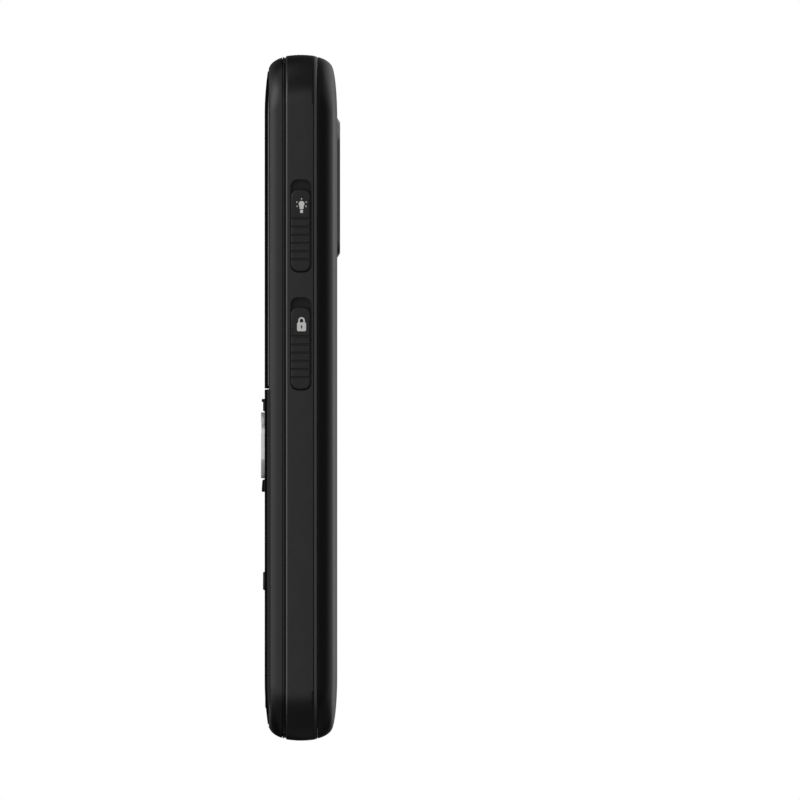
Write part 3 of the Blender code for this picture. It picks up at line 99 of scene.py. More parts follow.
# each flag: its azimuth, its elevation, the cosines where it starts and is full, and the share of light it leaves
flags = (
    (44, 0, 0.74, 0.90, 0.06),
    (100, 0, 0.20, 0.80, 0.64),
    (180, 0, 0.92, 0.99, 0.13),
    (-160, 30, 0.72, 0.95, 0.12),
    (-125, -28, 0.885, 0.96, 0.12),
    (-158, -28, 0.885, 0.95, 0.10),
    (152, -28, 0.885, 0.96, 0.20),
    (-78, 58, 0.80, 0.97, 5.0),
)
for azimuth, elevation, start, full, left in flags:
    angle, tilt = math.radians(azimuth), math.radians(elevation)
    middle = (math.cos(angle) * math.cos(tilt), math.sin(angle) * math.cos(tilt), math.sin(tilt))
    toward = add_node(tree, "VectorMath", {0: direction, 1: middle}, operation="DOT_PRODUCT")
    shade = ramp_node(tree, toward.outputs["Value"], start, full, 1.0, left)
    ring = math_node(tree, "MULTIPLY", ring, shade)
path = add_node(tree, "LightPath")
ambient = 0.55
strength = add_node(tree, "Mix", {0: path.outputs["Is Glossy Ray"], 2: ambient, 3: ring}).outputs[0]
strength = add_node(tree, "Mix", {0: path.outputs["Is Transmission Ray"], 2: strength, 3: 1.0}).outputs[0]
strength = add_node(tree, "Mix", {0: path.outputs["Is Camera Ray"], 2: strength, 3: 1.0}).outputs[0]
surround = add_node(tree, "Background", {"Color": (1, 1, 1, 1), "Strength": strength})
add_node(tree, "OutputWorld", {"Surface": surround.outputs[0]})


def add_lamp(name, azimuth, elevation, distance, width, height, watts):
    """A soft rectangular lamp that faces the phone's middle, placed by its angles from the +X side."""
    middle = Vector((0, 0, 0.067))
    angle, tilt = math.radians(azimuth), math.radians(elevation)
    away = Vector((math.cos(angle) * math.cos(tilt), math.sin(angle) * math.cos(tilt), math.sin(tilt)))
    bpy.ops.object.light_add(type="AREA", location=middle + away * distance)
    lamp = bpy.context.object
    lamp.name = name
    lamp.data.shape = "RECTANGLE"
    lamp.data.size, lamp.data.size_y = width, height
    lamp.data.energy = watts
    lamp.rotation_euler = away.to_track_quat("Z", "Y").to_euler()
    return lamp


add_lamp("front_lamp", -82, 18, 1.1, 0.8, 0.6, 2.2)
add_lamp("back_lamp", 118, 28, 1.2, 0.8, 0.8, 1.2)

bpy.ops.mesh.primitive_plane_add(size=8, location=(0, 0, -0.00002))
floor = bpy.context.object
floor.name = "studio_floor"
floor.visible_glossy = False
floor_material = bpy.data.materials.new("pale_floor")
floor_material.use_nodes = True
tree = floor_material.node_tree
floor_shader = tree.nodes["Principled BSDF"]
floor_shader.inputs["Base Color"].default_value = (0.82, 0.82, 0.82, 1)
floor_shader.inputs["Roughness"].default_value = 0.9
floor_shader.inputs["Specular IOR Level"].default_value = 0.0
floor_shader.inputs["Emission Color"].default_value = (1, 1, 1, 1)
seen = add_node(tree, "LightPath").outputs["Is Camera Ray"]
lift = math_node(tree, "MULTIPLY", seen, 0.40)
tree.links.new(lift, floor_shader.inputs["Emission Strength"])
floor.data.materials.append(floor_material)

# Front housing: the black moulded shell round the display and the keys. Its edge is rounded from the seam to a
# narrow rim, a hairline runs beside the seam, and a deck inside it carries the glass and the keypad frame.
front_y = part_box("display_lens")[0].y
back_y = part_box("battery_cover")[1].y
middle_y = (front_y + back_y) / 2
half_width = 0.030
half_height = 0.067


def choose(first, *others):
    """Selects these objects and no other, with the first one active."""
    bpy.ops.object.select_all(action="DESELECT")
    for obj in (first, *others):
        obj.select_set(True)
    bpy.context.view_layer.objects.active = first


def start_edit(obj):
    """Opens one object for editing, with nothing in it selected."""
    choose(obj)
    bpy.ops.object.mode_set(mode="EDIT")
    bpy.ops.mesh.select_all(action="DESELECT")


def end_edit():
    bpy.ops.object.mode_set(mode="OBJECT")
    return bpy.context.object


def pick(kind, test):
    """Selects the corners, edges or faces of the edited mesh that a test finds by their place."""
    bpy.ops.mesh.select_mode(type=kind)
    bpy.ops.mesh.select_all(action="DESELECT")
    shape = bmesh.from_edit_mesh(bpy.context.object.data)
    shape.normal_update()
    for item in {"VERT": shape.verts, "EDGE": shape.edges, "FACE": shape.faces}[kind]:
        if test(item):
            item.select_set(True)
    shape.select_flush_mode()
    bmesh.update_edit_mesh(bpy.context.object.data)


def place_mesh(obj):
    """Puts an object's place, turn and size into its mesh."""
    choose(obj)
    bpy.ops.object.transform_apply(location=True, rotation=True, scale=True)
    return obj


def outline_plate(name, half_x, low_z, high_z, y, low_radius, high_radius, steps=16, x=0.0):
    """A flat plate with rounded corners that faces -Y, open for editing with its face selected."""
    middle_z = (low_z + high_z) / 2
    bpy.ops.mesh.primitive_plane_add(size=1, location=(x, y, middle_z), rotation=(math.pi / 2, 0, 0))
    plate = bpy.context.object
    plate.name = name
    plate.scale = (2 * half_x, high_z - low_z, 1)
    place_mesh(plate)
    start_edit(plate)
    for above, radius in ((True, high_radius), (False, low_radius)):
        if radius:
            pick("VERT", lambda v: (v.co.z > middle_z) == above)
            bpy.ops.mesh.bevel(offset=radius, segments=steps, affect="VERTICES")
    pick("FACE", lambda f: True)
    return plate


def push_face(centre, half, now, rings):
    """Extrudes the selected face from ring to ring, each given as (y, inset across, inset up)."""
    for y, inset_x, inset_z in rings:
        bpy.ops.mesh.extrude_region_move(TRANSFORM_OT_translate={"value": (0, y - now[0], 0)})
        bpy.ops.transform.resize(
            value=((half[0] - inset_x) / (half[0] - now[1]), 1, (half[1] - inset_z) / (half[1] - now[2])),
            center_override=(centre[0], y, centre[1]),
        )
        now = (y, inset_x, inset_z)
    return now


def pushed_shape(name, centre, half, start, radius, steps, rings):
    """A shape of rounded rings along Y, open for editing. Each ring is inset from half its full size."""
    low_z, high_z = centre[1] - half[1] + start[2], centre[1] + half[1] - start[2]
    shape = outline_plate(name, half[0] - start[1], low_z, high_z, start[0], radius, radius, steps, x=centre[0])
    push_face(centre, half, start, rings)
    return shape


def body_rings(side, section):
    """Rings of the body's outline, from millimetres: distance from the middle plane, inset across, inset up."""
    return [(middle_y + side * point[0] / 1000, point[1] / 1000, point[-1] / 1000) for point in section]


def rings_mm(section, side=1):
    """Rings for push_face from (distance along Y, inset) pairs in millimetres."""
    return [(side * depth / 1000, inset / 1000, inset / 1000) for depth, inset in section]


def pick_first_face(y):
    """Selects the large face that a pushed shape started from."""
    pick("FACE", lambda f: abs(f.calc_center_median().y - y) < 1e-7 and len(f.verts) > 20)


def cut_away(obj, *tools, operation="DIFFERENCE"):
    """Cuts the tools out of an object, or joins or crosses them with it, and removes them."""
    for tool in tools:
        choose(obj)
        modifier = obj.modifiers.new("cut", "BOOLEAN")
        modifier.operation = operation
        modifier.object = tool
        modifier.solver = "EXACT"
        bpy.ops.object.modifier_apply(modifier=modifier.name)
        bpy.data.objects.remove(tool)
    return obj


def rounded_box(name, low, high, radius=0.0, axis="Y", steps=12, rim=0.0, rim_steps=3, rim_side=-1):
    """A box with the edges along one axis rounded, and the rim of one end too."""
    low, high = Vector(low), Vector(high)
    bpy.ops.mesh.primitive_cube_add(size=1, location=(low + high) / 2)
    box = bpy.context.object
    box.name = name
    box.scale = high - low
    place_mesh(box)
    n = "XYZ".index(axis)
    start_edit(box)
    if radius:
        pick("EDGE", lambda e: abs(e.verts[0].co[n] - e.verts[1].co[n]) > (high[n] - low[n]) / 2)
        bpy.ops.mesh.bevel(offset=radius, segments=steps, affect="EDGES")
    if rim:
        end = high[n] if rim_side > 0 else low[n]
        pick("EDGE", lambda e: all(abs(v.co[n] - end) < 1e-7 for v in e.verts))
        bpy.ops.mesh.bevel(offset=rim, segments=rim_steps, affect="EDGES", clamp_overlap=False)
    return end_edit()


def round_bar(name, centre, radius, low, high, axis="Y", steps=48, rim=0.0, rim_steps=3, rim_side=-1):
    """A round bar along one axis from low to high, with the rim of one end rounded."""
    n = "XYZ".index(axis)
    middle = Vector(centre)
    middle[n] = (low + high) / 2
    turn = {"X": (0, math.pi / 2, 0), "Y": (math.pi / 2, 0, 0), "Z": (0, 0, 0)}[axis]
    bpy.ops.mesh.primitive_cylinder_add(vertices=steps, radius=radius, depth=high - low, location=middle, rotation=turn)
    bar = place_mesh(bpy.context.object)
    bar.name = name
    if rim:
        start_edit(bar)
        end = high if rim_side > 0 else low
        pick("EDGE", lambda e: all(abs(v.co[n] - end) < 1e-7 for v in e.verts))
        bpy.ops.mesh.bevel(offset=rim, segments=rim_steps, affect="EDGES", clamp_overlap=False)
        end_edit()
    return bar


def cut_flat(obj, point, normal, **cleared):
    """Cuts an object along a plane, drops the side that is cleared and closes the cut."""
    start_edit(obj)
    bpy.ops.mesh.select_all(action="SELECT")
    bpy.ops.mesh.bisect(plane_co=point, plane_no=normal, use_fill=True, **cleared)
    end_edit()


def merge_objects(first, *others):
    """Joins objects into the first one's mesh, each as a body of its own."""
    choose(first, *others)
    bpy.ops.object.join()
    return first


def fit_piece(obj, material, body, slot, *nodes, angle=32):
    """Closes and smooths a finished piece, and fixes it to its body in place of the solids it stands for."""
    start_edit(obj)
    bpy.ops.mesh.select_all(action="SELECT")
    bpy.ops.mesh.remove_doubles(threshold=0.000001)
    bpy.ops.mesh.normals_make_consistent(inside=False)
    end_edit()
    bpy.ops.object.shade_smooth_by_angle(angle=math.radians(angle))
    weighted = obj.modifiers.new("weighted", "WEIGHTED_NORMAL")
    weighted.keep_sharp = True
    bpy.ops.object.modifier_apply(modifier=weighted.name)
    obj.data.materials.clear()
    obj.data.materials.append(material)
    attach(obj, body)
    if nodes:
        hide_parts(*nodes)
    return obj


grain = bpy.data.node_groups.new("moulded_grain", "ShaderNodeTree")
grain_inputs = {"Grain Size": 0.0002, "Grain Depth": 0.00001, "Tone": 0.005, "Tone Change": 0.001}
for name, default in {**grain_inputs, "Gloss": 0.35, "Gloss Change": 0.05}.items():
    socket = grain.interface.new_socket(name, in_out="INPUT", socket_type="NodeSocketFloat")
    socket.default_value = default
for name, kind in (("Tint", "Color"), ("Mask", "Float"), ("Roughness", "Float"), ("Normal", "Vector")):
    grain.interface.new_socket(name, in_out="OUTPUT", socket_type="NodeSocket" + kind)
given = grain.nodes.new("NodeGroupInput").outputs
place = add_node(grain, "TexCoord").outputs["Object"]
fineness = math_node(grain, "DIVIDE", 1.0, given["Grain Size"])
pores, clouds, smears = (
    add_node(grain, "TexNoise", {"Vector": place, "Scale": scale, "Detail": detail}).outputs[0]
    for scale, detail in ((fineness, 3.0), (90.0, 4.0), (420.0, 5.0))
)
mixed = math_node(grain, "ADD", clouds, smears)
tone_step = math_node(grain, "MULTIPLY_ADD", mixed, given["Tone Change"], given["Tone"])
tone_base = math_node(grain, "SUBTRACT", tone_step, given["Tone Change"])
warm = math_node(grain, "MULTIPLY", tone_base, 1.04)
tint = add_node(grain, "CombineColor", {0: tone_base, 1: tone_base, 2: warm}).outputs[0]
gloss_step = math_node(grain, "MULTIPLY_ADD", smears, given["Gloss Change"], given["Gloss"])
relief = add_node(grain, "Bump", {"Strength": 0.6, "Distance": given["Grain Depth"], "Height": pores}).outputs[0]
handed = grain.nodes.new("NodeGroupOutput")
for name, output in (("Tint", tint), ("Mask", smears), ("Roughness", gloss_step), ("Normal", relief)):
    grain.links.new(output, handed.inputs[name])


def plastic(name, tone, gloss, size=0.00025, depth=0.00001, ior=1.46, change=0.12, gloss_change=0.08, coat=0.0):
    """Moulded black plastic: its grain, faint cloudiness and uneven gloss come from the grain group."""
    made = bpy.data.materials.new(name)
    made.use_nodes = True
    nodes = made.node_tree
    shader = nodes.nodes["Principled BSDF"]
    skin = nodes.nodes.new("ShaderNodeGroup")
    skin.node_tree = grain
    for key, value in (
        ("Grain Size", size),
        ("Grain Depth", depth),
        ("Tone", tone),
        ("Tone Change", tone * change),
        ("Gloss", gloss - gloss_change / 2),
        ("Gloss Change", gloss_change),
    ):
        skin.inputs[key].default_value = value
    nodes.links.new(skin.outputs["Tint"], shader.inputs["Base Color"])
    nodes.links.new(skin.outputs["Roughness"], shader.inputs["Roughness"])
    nodes.links.new(skin.outputs["Normal"], shader.inputs["Normal"])
    shader.inputs["IOR"].default_value = ior
    shader.inputs["Coat Weight"].default_value = coat
    return made


shell_plastic = plastic("shell_plastic", 0.0052, 0.34)

edge_section = [
    (3.36, 0.425), (3.520, 0.465), (3.585, 0.850), (3.605, 0.850), (3.670, 0.525), (3.95, 0.610), (4.20, 0.700),
    (4.60, 0.880), (5.00, 1.110), (5.35, 1.360), (5.62, 1.600), (5.84, 1.840), (6.00, 2.080), (6.12, 2.310),
    (6.20, 2.480),
]
half = (half_width, half_height)
centre = (0.0, half_height)
start = (middle_y - 3.30e-3, 0.48e-3, 0.48e-3)
rim = [(6.26, 2.56), (6.285, 2.62), (6.27, 2.68, 2.98), (6.04, 2.70, 3.00)]
rings = body_rings(-1, [(3.32, 0.412), *edge_section, *rim])
housing = pushed_shape("front_housing", centre, half, start, 0.0096, 28, rings)
end_edit()
deck_back = -4.97e-3
hollow = rounded_box("tool", (-0.0278, deck_back, 0.0022), (0.0278, middle_y, 0.1318), 0.0087, steps=16)
window_low, window_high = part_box("lcd_panel")
window = rounded_box(
    "tool",
    (window_low.x + 1.6e-3, -0.010, window_low.z + 1.6e-3),
    (window_high.x - 1.6e-3, 0.0, window_high.z - 1.6e-3),
)
keypad_opening = rounded_box("tool", (-0.0259, -0.010, 0.0051), (0.0259, 0.0, 0.0676), 0.0036, steps=6)
slit = rounded_box("tool", (-0.0048, -0.010, 0.1264), (0.0048, 0.0, 0.1276))
mic_bore = round_bar("tool", (0, 0, 0.0044), 0.0005, -0.010, 0.0, steps=16)
cut_away(housing, hollow, window, keypad_opening, slit, mic_bore)
fit_piece(housing, shell_plastic, "handset", "shell", "front_shell")

# Middle band: the frame that runs round the phone between the two shells, with a chamfer along each edge that
# carries a pale painted highlight. Inside it are the bulkhead, the battery's ribs and the tower under the camera
# island.
band_plastic = plastic("band_plastic", 0.0056, 0.36, ior=1.5)


def away_from(tree, value, middle):
    """How far a value is from a middle, to either side."""
    offset = math_node(tree, "SUBTRACT", value, middle)
    return math_node(tree, "ABSOLUTE", offset)


def blend_tint(material, mask, colour):
    """Changes a plastic's tint to a colour where the mask is full."""
    tree = material.node_tree
    skin = next(node for node in tree.nodes if node.type == "GROUP")
    blend = add_node(tree, "Mix", {0: mask, 6: skin.outputs["Tint"], 7: colour}, data_type="RGBA")
    tree.links.new(blend.outputs[2], tree.nodes["Principled BSDF"].inputs["Base Color"])


# Painted highlight: a paler tint along the front and back chamfers, weaker towards the phone's ends, stands in for the
# light the chamfers catch.
tree = band_plastic.node_tree
along = add_node(tree, "TexCoord").outputs["Object"]
place = add_node(tree, "SeparateXYZ", {0: along})
depth = place.outputs["Y"]
front_painted_highlight = ramp_node(tree, depth, -2.54e-3, -2.72e-3, 0.0, 1.0)
front_seam = ramp_node(tree, depth, -2.88e-3, -2.85e-3, 0.0, 1.0)
front_painted_highlight = math_node(tree, "MULTIPLY", front_painted_highlight, front_seam)
back_painted_highlight = ramp_node(tree, depth, 2.62e-3, 2.72e-3, 0.0, 0.65)
painted_highlight = math_node(tree, "MAXIMUM", front_painted_highlight, back_painted_highlight)
straight = ramp_node(tree, away_from(tree, place.outputs["Z"], half_height), 0.056, 0.064, 1.0, 0.25)
painted_highlight = math_node(tree, "MULTIPLY", painted_highlight, straight)
blend_tint(band_plastic, painted_highlight, (0.085, 0.085, 0.086, 1))
start = (middle_y - 3.299e-3, 0.62e-3, 0.50e-3)
front_part = [
    (3.110, 0.95, 0.60), (2.930, 0.55, 0.48), (2.915, 0.25, 0.32), (2.70, 0.065, 0.215), (2.62, 0.020, 0.195),
    (2.50, 0.006, 0.180), (2.00, 0.004, 0.115), (1.30, 0.001, 0.050), (0.65, 0.000, 0.012), (0.0, 0.0),
]
back_part = [
    (0.65, 0.004, 0.012), (1.30, 0.012, 0.050), (2.00, 0.026, 0.115), (2.38, 0.034, 0.160),
    (2.43, 0.060, 0.170), (2.50, 0.070, 0.180), (2.58, 0.115, 0.195), (3.20, 0.560, 0.410), (3.21, 0.95, 0.62),
    (3.275, 0.95, 0.62),
]
rings = body_rings(-1, front_part) + body_rings(1, back_part)
band = pushed_shape("middle_band", centre, half, start, 0.0094, 28, rings)
end_edit()
cut_away(band, rounded_box("tool", (-0.0283, -0.02, 0.0017), (0.0283, 0.02, 0.1323), 0.0090, steps=16))


def copy_solid(node, name):
    """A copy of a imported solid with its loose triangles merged."""
    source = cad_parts[node]
    copied = bpy.data.objects.new(name, source.data.copy())
    bpy.context.scene.collection.objects.link(copied)
    start_edit(copied)
    bpy.ops.mesh.select_all(action="SELECT")
    bpy.ops.mesh.remove_doubles(threshold=0.000001)
    bpy.ops.mesh.dissolve_limited(angle_limit=math.radians(0.5))
    return end_edit()


inside = copy_solid("mid_frame", "inside_of_frame")
kept_inside = rounded_box("tool", (-0.0288, -0.02, 0.0012), (0.0288, 0.02, 0.1328), 0.0092, steps=16)
cut_away(inside, kept_inside, operation="INTERSECT")
cut_away(band, inside, operation="UNION")
within_wall, past_wall = 0.0268, 0.034
slot_half_width, slot_half_length = 2.06e-3, 9.13e-3
slot_boxes = []
for slot_middle in (0.100575, 0.077545):
    slot_low = (within_wall, middle_y - slot_half_width, slot_middle - slot_half_length)
    slot_high = (past_wall, middle_y + slot_half_width, slot_middle + slot_half_length)
    slot_boxes.append(rounded_box("tool", slot_low, slot_high, 0.0015, "X", 8))
rocker_slot = rounded_box(
    "tool", (-past_wall, middle_y - 1.76e-3, 0.0878), (-within_wall, middle_y + 1.76e-3, 0.1082), 0.00165, "X", 10
)
below_end, within_end = -0.004, 0.0032
usb_mouth = rounded_box(
    "tool", (-0.00466, middle_y - 1.81e-3, below_end), (0.00466, middle_y + 1.81e-3, within_end), 0.00165, "Z", 10
)
jack_x, round_mouth = 0.015, 0.00236
jack_mouth = round_bar("tool", (jack_x, middle_y, 0), round_mouth, below_end, within_end, "Z")
torch_mouth = round_bar("tool", (0, middle_y, 0), round_mouth, 0.1308, 0.138, "Z")
cut_away(band, *slot_boxes, rocker_slot, usb_mouth, jack_mouth, torch_mouth)
fit_piece(band, band_plastic, "handset", "shell", "mid_frame")

# Battery cover: the back shell, a deep snap-on lid moulded in the same black plastic. Its edge turns over into a
# gently crowned back, its lip tucks inside the band, and it is open for the island and slotted over the speaker.
start = (middle_y + 3.28e-3, 0.48e-3, 0.48e-3)
crown = [
    (6.12, 2.31), (6.23, 2.58), (6.33, 2.90), (6.43, 3.31), (6.53, 3.83), (6.64, 4.50), (6.75, 5.35),
    (6.86, 6.40), (6.96, 7.70), (7.04, 9.30), (7.09, 10.80), (7.11, 12.20),
]
plain_edge = [point for point in edge_section if 3.9 < point[0] < 6.1]
rings = body_rings(1, [(3.31, 0.425), (3.60, 0.490), *plain_edge, *crown])
cover = pushed_shape("back_cover", centre, half, start, 0.0096, 28, rings)
pick_first_face(start[0])
lip = [
    (3.28, 2.36), (2.55, 2.38), (2.50, 2.45), (2.50, 2.95), (2.60, 3.02), (4.40, 3.05), (5.20, 3.35),
    (5.65, 3.95), (5.84, 4.90),
]
push_face(centre, half, start, body_rings(1, lip))
end_edit()
island_low, island_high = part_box("back_island_plate")
gap = 0.00030
island_opening = rounded_box(
    "tool",
    (island_low.x - gap, 0.001, island_low.z - gap),
    (island_high.x + gap, 0.02, island_high.z + gap),
    0.0053,
    steps=14,
)
cut_away(cover, island_opening)
for count in range(5):
    slot_z = 0.0092 + 0.011 * (count + 1) / 6
    cut_away(
        cover,
        rounded_box("tool", (-0.0145, 0.004, slot_z - 0.00045), (-0.0045, 0.02, slot_z + 0.00045), 0.0004, steps=6),
    )
fit_piece(cover, shell_plastic, "battery_cover", "shell", "battery_cover")

# Display glass: a black-backed plate with a faintly lighter screen behind it, set into the housing's rim on a seal
# whose pale colour is a painted highlight. Its edges are ground round and painted, its top end curves down, and a slit
# lets the earpiece speak.
glass_black = plastic("glass_black", 0.0014, 0.05, size=0.004, depth=0.0000005, ior=1.5, gloss_change=0.02)
screen_middle, screen_half, screen_blur = 0.0982, 0.02325, 0.00005
tree = glass_black.node_tree
place = add_node(tree, "SeparateXYZ", {0: add_node(tree, "TexCoord").outputs["Object"]})
across = math_node(tree, "ABSOLUTE", place.outputs["X"])
up = away_from(tree, place.outputs["Z"], screen_middle)
screen_wide, screen_high = (
    ramp_node(tree, reach, screen_half + screen_blur, screen_half, 0.0, 1.0) for reach in (across, up)
)
screen = math_node(tree, "MULTIPLY", screen_wide, screen_high)
blend_tint(glass_black, screen, (0.0042, 0.0046, 0.0058, 1))
plate_half = 0.0271
plate_front = front_y - 0.00004
plate_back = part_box("display_lens")[1].y
paint = 0.00003
edge_paint = plastic("edge_paint", 0.002, 0.85, ior=1.22)


def crown_end(shape, outer, end_sign, fixed_y, reach=0.0085, drop=0.00062):
    """Curves the outer end of the edited plate back, except what lies at its back plane."""
    for count in range(16):
        bpy.ops.mesh.select_all(action="SELECT")
        bpy.ops.mesh.bisect(plane_co=(0, 0, outer - end_sign * reach * (1 - count / 16)), plane_no=(0, 0, 1))
    corners = bmesh.from_edit_mesh(shape.data).verts
    for level in sorted({round(v.co.z, 7) for v in corners if (v.co.z - outer) * end_sign > -reach}):
        share = max(0.0, 1 - abs(level - outer) / reach)
        pick("VERT", lambda v: abs(v.co.z - level) < 2e-7 and v.co.y < fixed_y - 1e-5)
        bpy.ops.transform.translate(value=(0, drop * share * share, 0))


def open_ring():
    """Turns the pushed shape, whose first and last faces lie at its back, into a ring that is open through."""
    pick("FACE", lambda f: len(f.verts) > 20 and abs(f.normal.y) > 0.9)
    bpy.ops.mesh.delete(type="FACE")
    pick("EDGE", lambda e: e.is_boundary)
    bpy.ops.mesh.bridge_edge_loops()


def front_plate(name, low_z, high_z, end_sign, section, ring=False):
    """A front plate, or a ring round it, from (y, inset) rings, with its outer end curved down to the rim."""
    seam_radius, end_radius = 0.0006, 0.0088
    radii = (seam_radius, end_radius) if end_sign > 0 else (end_radius, seam_radius)
    y, inset = section[0]
    plate = outline_plate(name, plate_half - inset, low_z + inset, high_z - inset, y, *radii, 24)
    plate_centre, half_sizes = (0.0, (low_z + high_z) / 2), (plate_half, (high_z - low_z) / 2)
    push_face(plate_centre, half_sizes, (y, inset, inset), [(y, inset, inset) for y, inset in section[1:]])
    if ring:
        open_ring()
    crown_end(plate, high_z if end_sign > 0 else low_z, end_sign, section[0][0])
    return end_edit()


plate_section = [(plate_back, paint)] + [
    (plate_front + depth, paint + inset)
    for depth, inset in ((0.050e-3, 0.0), (0.025e-3, 0.008e-3), (0.008e-3, 0.025e-3), (0.0, 0.055e-3))
]
paint_section = [(plate_back, 0.0), (plate_front + 0.035e-3, 0.0), (plate_front + 0.020e-3, paint), (plate_back, paint)]
glass = front_plate("display_glass", 0.0688, 0.1308, 1, plate_section)
cut_away(glass, rounded_box("tool", (-0.006, -0.012, 0.1261), (0.006, 0.0, 0.1279), 0.00088, steps=10))
fit_piece(glass, glass_black, "handset", "front_gloss", "display_lens")
glass_edge = front_plate("painted_glass_edge", 0.0688, 0.1308, 1, paint_section, ring=True)
fit_piece(glass_edge, edge_paint, "handset", "front_gloss")
# The seal's pale colour is a painted highlight: it stands in for the bright line of light along the rim beside the
# glass.
seal_section = [
    (-6.05e-3, -0.190e-3), (-6.205e-3, -0.190e-3), (-6.360e-3, -0.040e-3), (-6.375e-3, -0.020e-3),
    (-6.370e-3, -0.006e-3), (-6.05e-3, -0.006e-3),
]
seal = front_plate("glass_seal", 0.0688, 0.1308, 1, seal_section, ring=True)
cut_flat(seal, (0, 0, 0.0694), (0, 0, 1), clear_inner=True)
seal_painted_highlight = plastic("seal_painted_highlight", 0.105, 0.30, ior=1.6)
fit_piece(seal, seal_painted_highlight, "handset", "front_gloss")

# Keypad frame: the lower gloss plate, level with the glass, with an opening for each key and its bottom end
# curved like the glass's top. The keys' flanges are trapped behind it, and a matt collar runs round it, whose grey
# is painted light standing in for the light on the housing rim's rounded edge beside the keys.
gloss_plastic = plastic("gloss_plastic", 0.0020, 0.10, size=0.003, depth=0.0000008, ior=1.48, gloss_change=0.03)
keypad_frame = front_plate("keypad_frame", 0.0032, 0.0686, -1, plate_section)
digit_nodes = [f"key_{mark}" for mark in ("1", "2", "3", "4", "5", "6", "7", "8", "9", "star", "0", "hash")]
side_nodes = ["soft_key_left", "soft_key_right", "call_key", "end_key"]
lip_out = 0.0006
key_clearance = 0.0002
grow = lip_out - key_clearance
openings = []
for node in digit_nodes + side_nodes:
    low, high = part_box(node)
    opening_low, opening_high = (low.x + grow, -0.012, low.z + grow), (high.x - grow, 0.0, high.z - grow)
    openings.append(rounded_box("tool", opening_low, opening_high, 0.0027, steps=10))
openings.append(rounded_box("tool", (-0.0112, -0.012, 0.0484), (0.0112, 0.0, 0.0670), 0.0042, steps=12))
openings.append(round_bar("tool", (0, 0, 0.0044), 0.0005, -0.012, 0.0, steps=16))
cut_away(keypad_frame, merge_objects(*openings))
fit_piece(keypad_frame, gloss_plastic, "handset", "front_gloss", "keypad_bezel")
frame_edge = front_plate("painted_frame_edge", 0.0032, 0.0686, -1, paint_section, ring=True)
fit_piece(frame_edge, edge_paint, "handset", "front_gloss")
# The collar's grey is painted light: a lighter tone that stands in for the light on the rounded rim beside the keys.
collar_section = [
    (-5.90e-3, -0.88e-3), (-5.97e-3, -0.88e-3), (-6.08e-3, -0.80e-3), (-6.48e-3, -0.17e-3),
    (-6.54e-3, -0.08e-3), (-6.55e-3, -0.01e-3), (-5.90e-3, -0.01e-3),
]
collar = front_plate("keypad_collar", 0.0032, 0.0686, -1, collar_section, ring=True)
cut_flat(collar, (0, 0, 0.0686), (0, 0, 1), clear_outer=True)
collar_painted_light = plastic("collar_painted_light", 0.030, 0.80, ior=1.25)
fit_piece(collar, collar_painted_light, "handset", "front_gloss")


def coloured(name, dark, light, gloss, metal=0.0, size=0.0003, depth=0.000006, ior=1.5, gloss_change=0.1):
    """A finish that drifts between two colours over the surface, with the same grain as the plastics."""
    made = plastic(name, 0.5, gloss, size, depth, ior, gloss_change=gloss_change)
    nodes = made.node_tree
    shader = nodes.nodes["Principled BSDF"]
    skin = next(node for node in nodes.nodes if node.type == "GROUP")
    blend = add_node(nodes, "Mix", {0: skin.outputs["Mask"], 6: (*dark, 1), 7: (*light, 1)}, data_type="RGBA")
    nodes.links.new(blend.outputs[2], shader.inputs["Base Color"])
    shader.inputs["Metallic"].default_value = metal
    return made


# Earpiece grille: a thin steel plate with three rows of drilled holes, glued behind the slit in the glass.
dark_steel = coloured("dark_steel", (0.05, 0.05, 0.052), (0.09, 0.09, 0.094), 0.38, metal=1.0)
low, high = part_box("earpiece_mesh")
grille = rounded_box("earpiece_grille", low, high, 0.00064, steps=8, rim=0.00006, rim_steps=2)
hole_pitch = 0.00036
drill = round_bar("tool", (-15 * hole_pitch, 0, low.z + 0.0007 - hole_pitch), 0.00013, -0.008, -0.005, steps=8)
for count, way in ((31, (hole_pitch, 0, 0)), (3, (0, 0, hole_pitch))):
    repeat = drill.modifiers.new("repeat", "ARRAY")
    repeat.use_relative_offset = False
    repeat.use_constant_offset = True
    repeat.constant_offset_displace = way
    repeat.count = count
    bpy.context.view_layer.objects.active = drill
    bpy.ops.object.modifier_apply(modifier=repeat.name)
cut_away(grille, drill)
fit_piece(grille, dark_steel, "handset", "sheet_steel", "earpiece_mesh")

# Keys: soft-touch plastic caps with a rounded rim and a flat face, each on a flange that the keypad frame holds
# down and with a plunger over its dome. The middle key carries a raised dot to find by feel.
key_plastic = plastic("key_plastic", 0.0105, 0.46, size=0.00018, depth=0.000014)
digit_half = (0.0076, 0.00435)
side_half = (0.0059, 0.00415)
key_radius = 0.0025


def key_cap(name, x, z, half_x, half_z):
    """A keycap at its place, built from the back of its flange to its face, then back along its plunger."""
    start = (-5.27e-3, -lip_out, -lip_out)
    rim = [(6.56, 0.0), (6.68, 0.03), (6.78, 0.09), (6.85, 0.19), (6.895, 0.33), (6.914, 0.52), (6.92, 0.78)]
    rings = [(-5.87e-3, -lip_out, -lip_out), (-5.87e-3, 0.0, 0.0)]
    centre, half = (x, z), (half_x, half_z)
    cap = pushed_shape(name, centre, half, start, key_radius + lip_out, 10, rings + rings_mm(rim, -1))
    pick_first_face(start[0])
    push_face(centre, half, start, rings_mm([(5.27, 0.6), (4.44, 0.7)], -1))
    return end_edit()


key_places = {}
for node in digit_nodes + side_nodes:
    low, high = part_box(node)
    key_places[node] = ((low.x + high.x) / 2, (low.z + high.z) / 2)
for node in digit_nodes + side_nodes:
    cap = key_cap(f"{node}_cap", *key_places[node], *(digit_half if node in digit_nodes else side_half))
    if node == "key_5":
        x, z = key_places[node]
        dot = round_bar("dot", (x, 0, z), 0.0018, -7.34e-3, -6.80e-3, rim=0.00028, rim_steps=5)
        cut_away(cap, dot, operation="UNION")
    fit_piece(cap, key_plastic, node, "key", node)

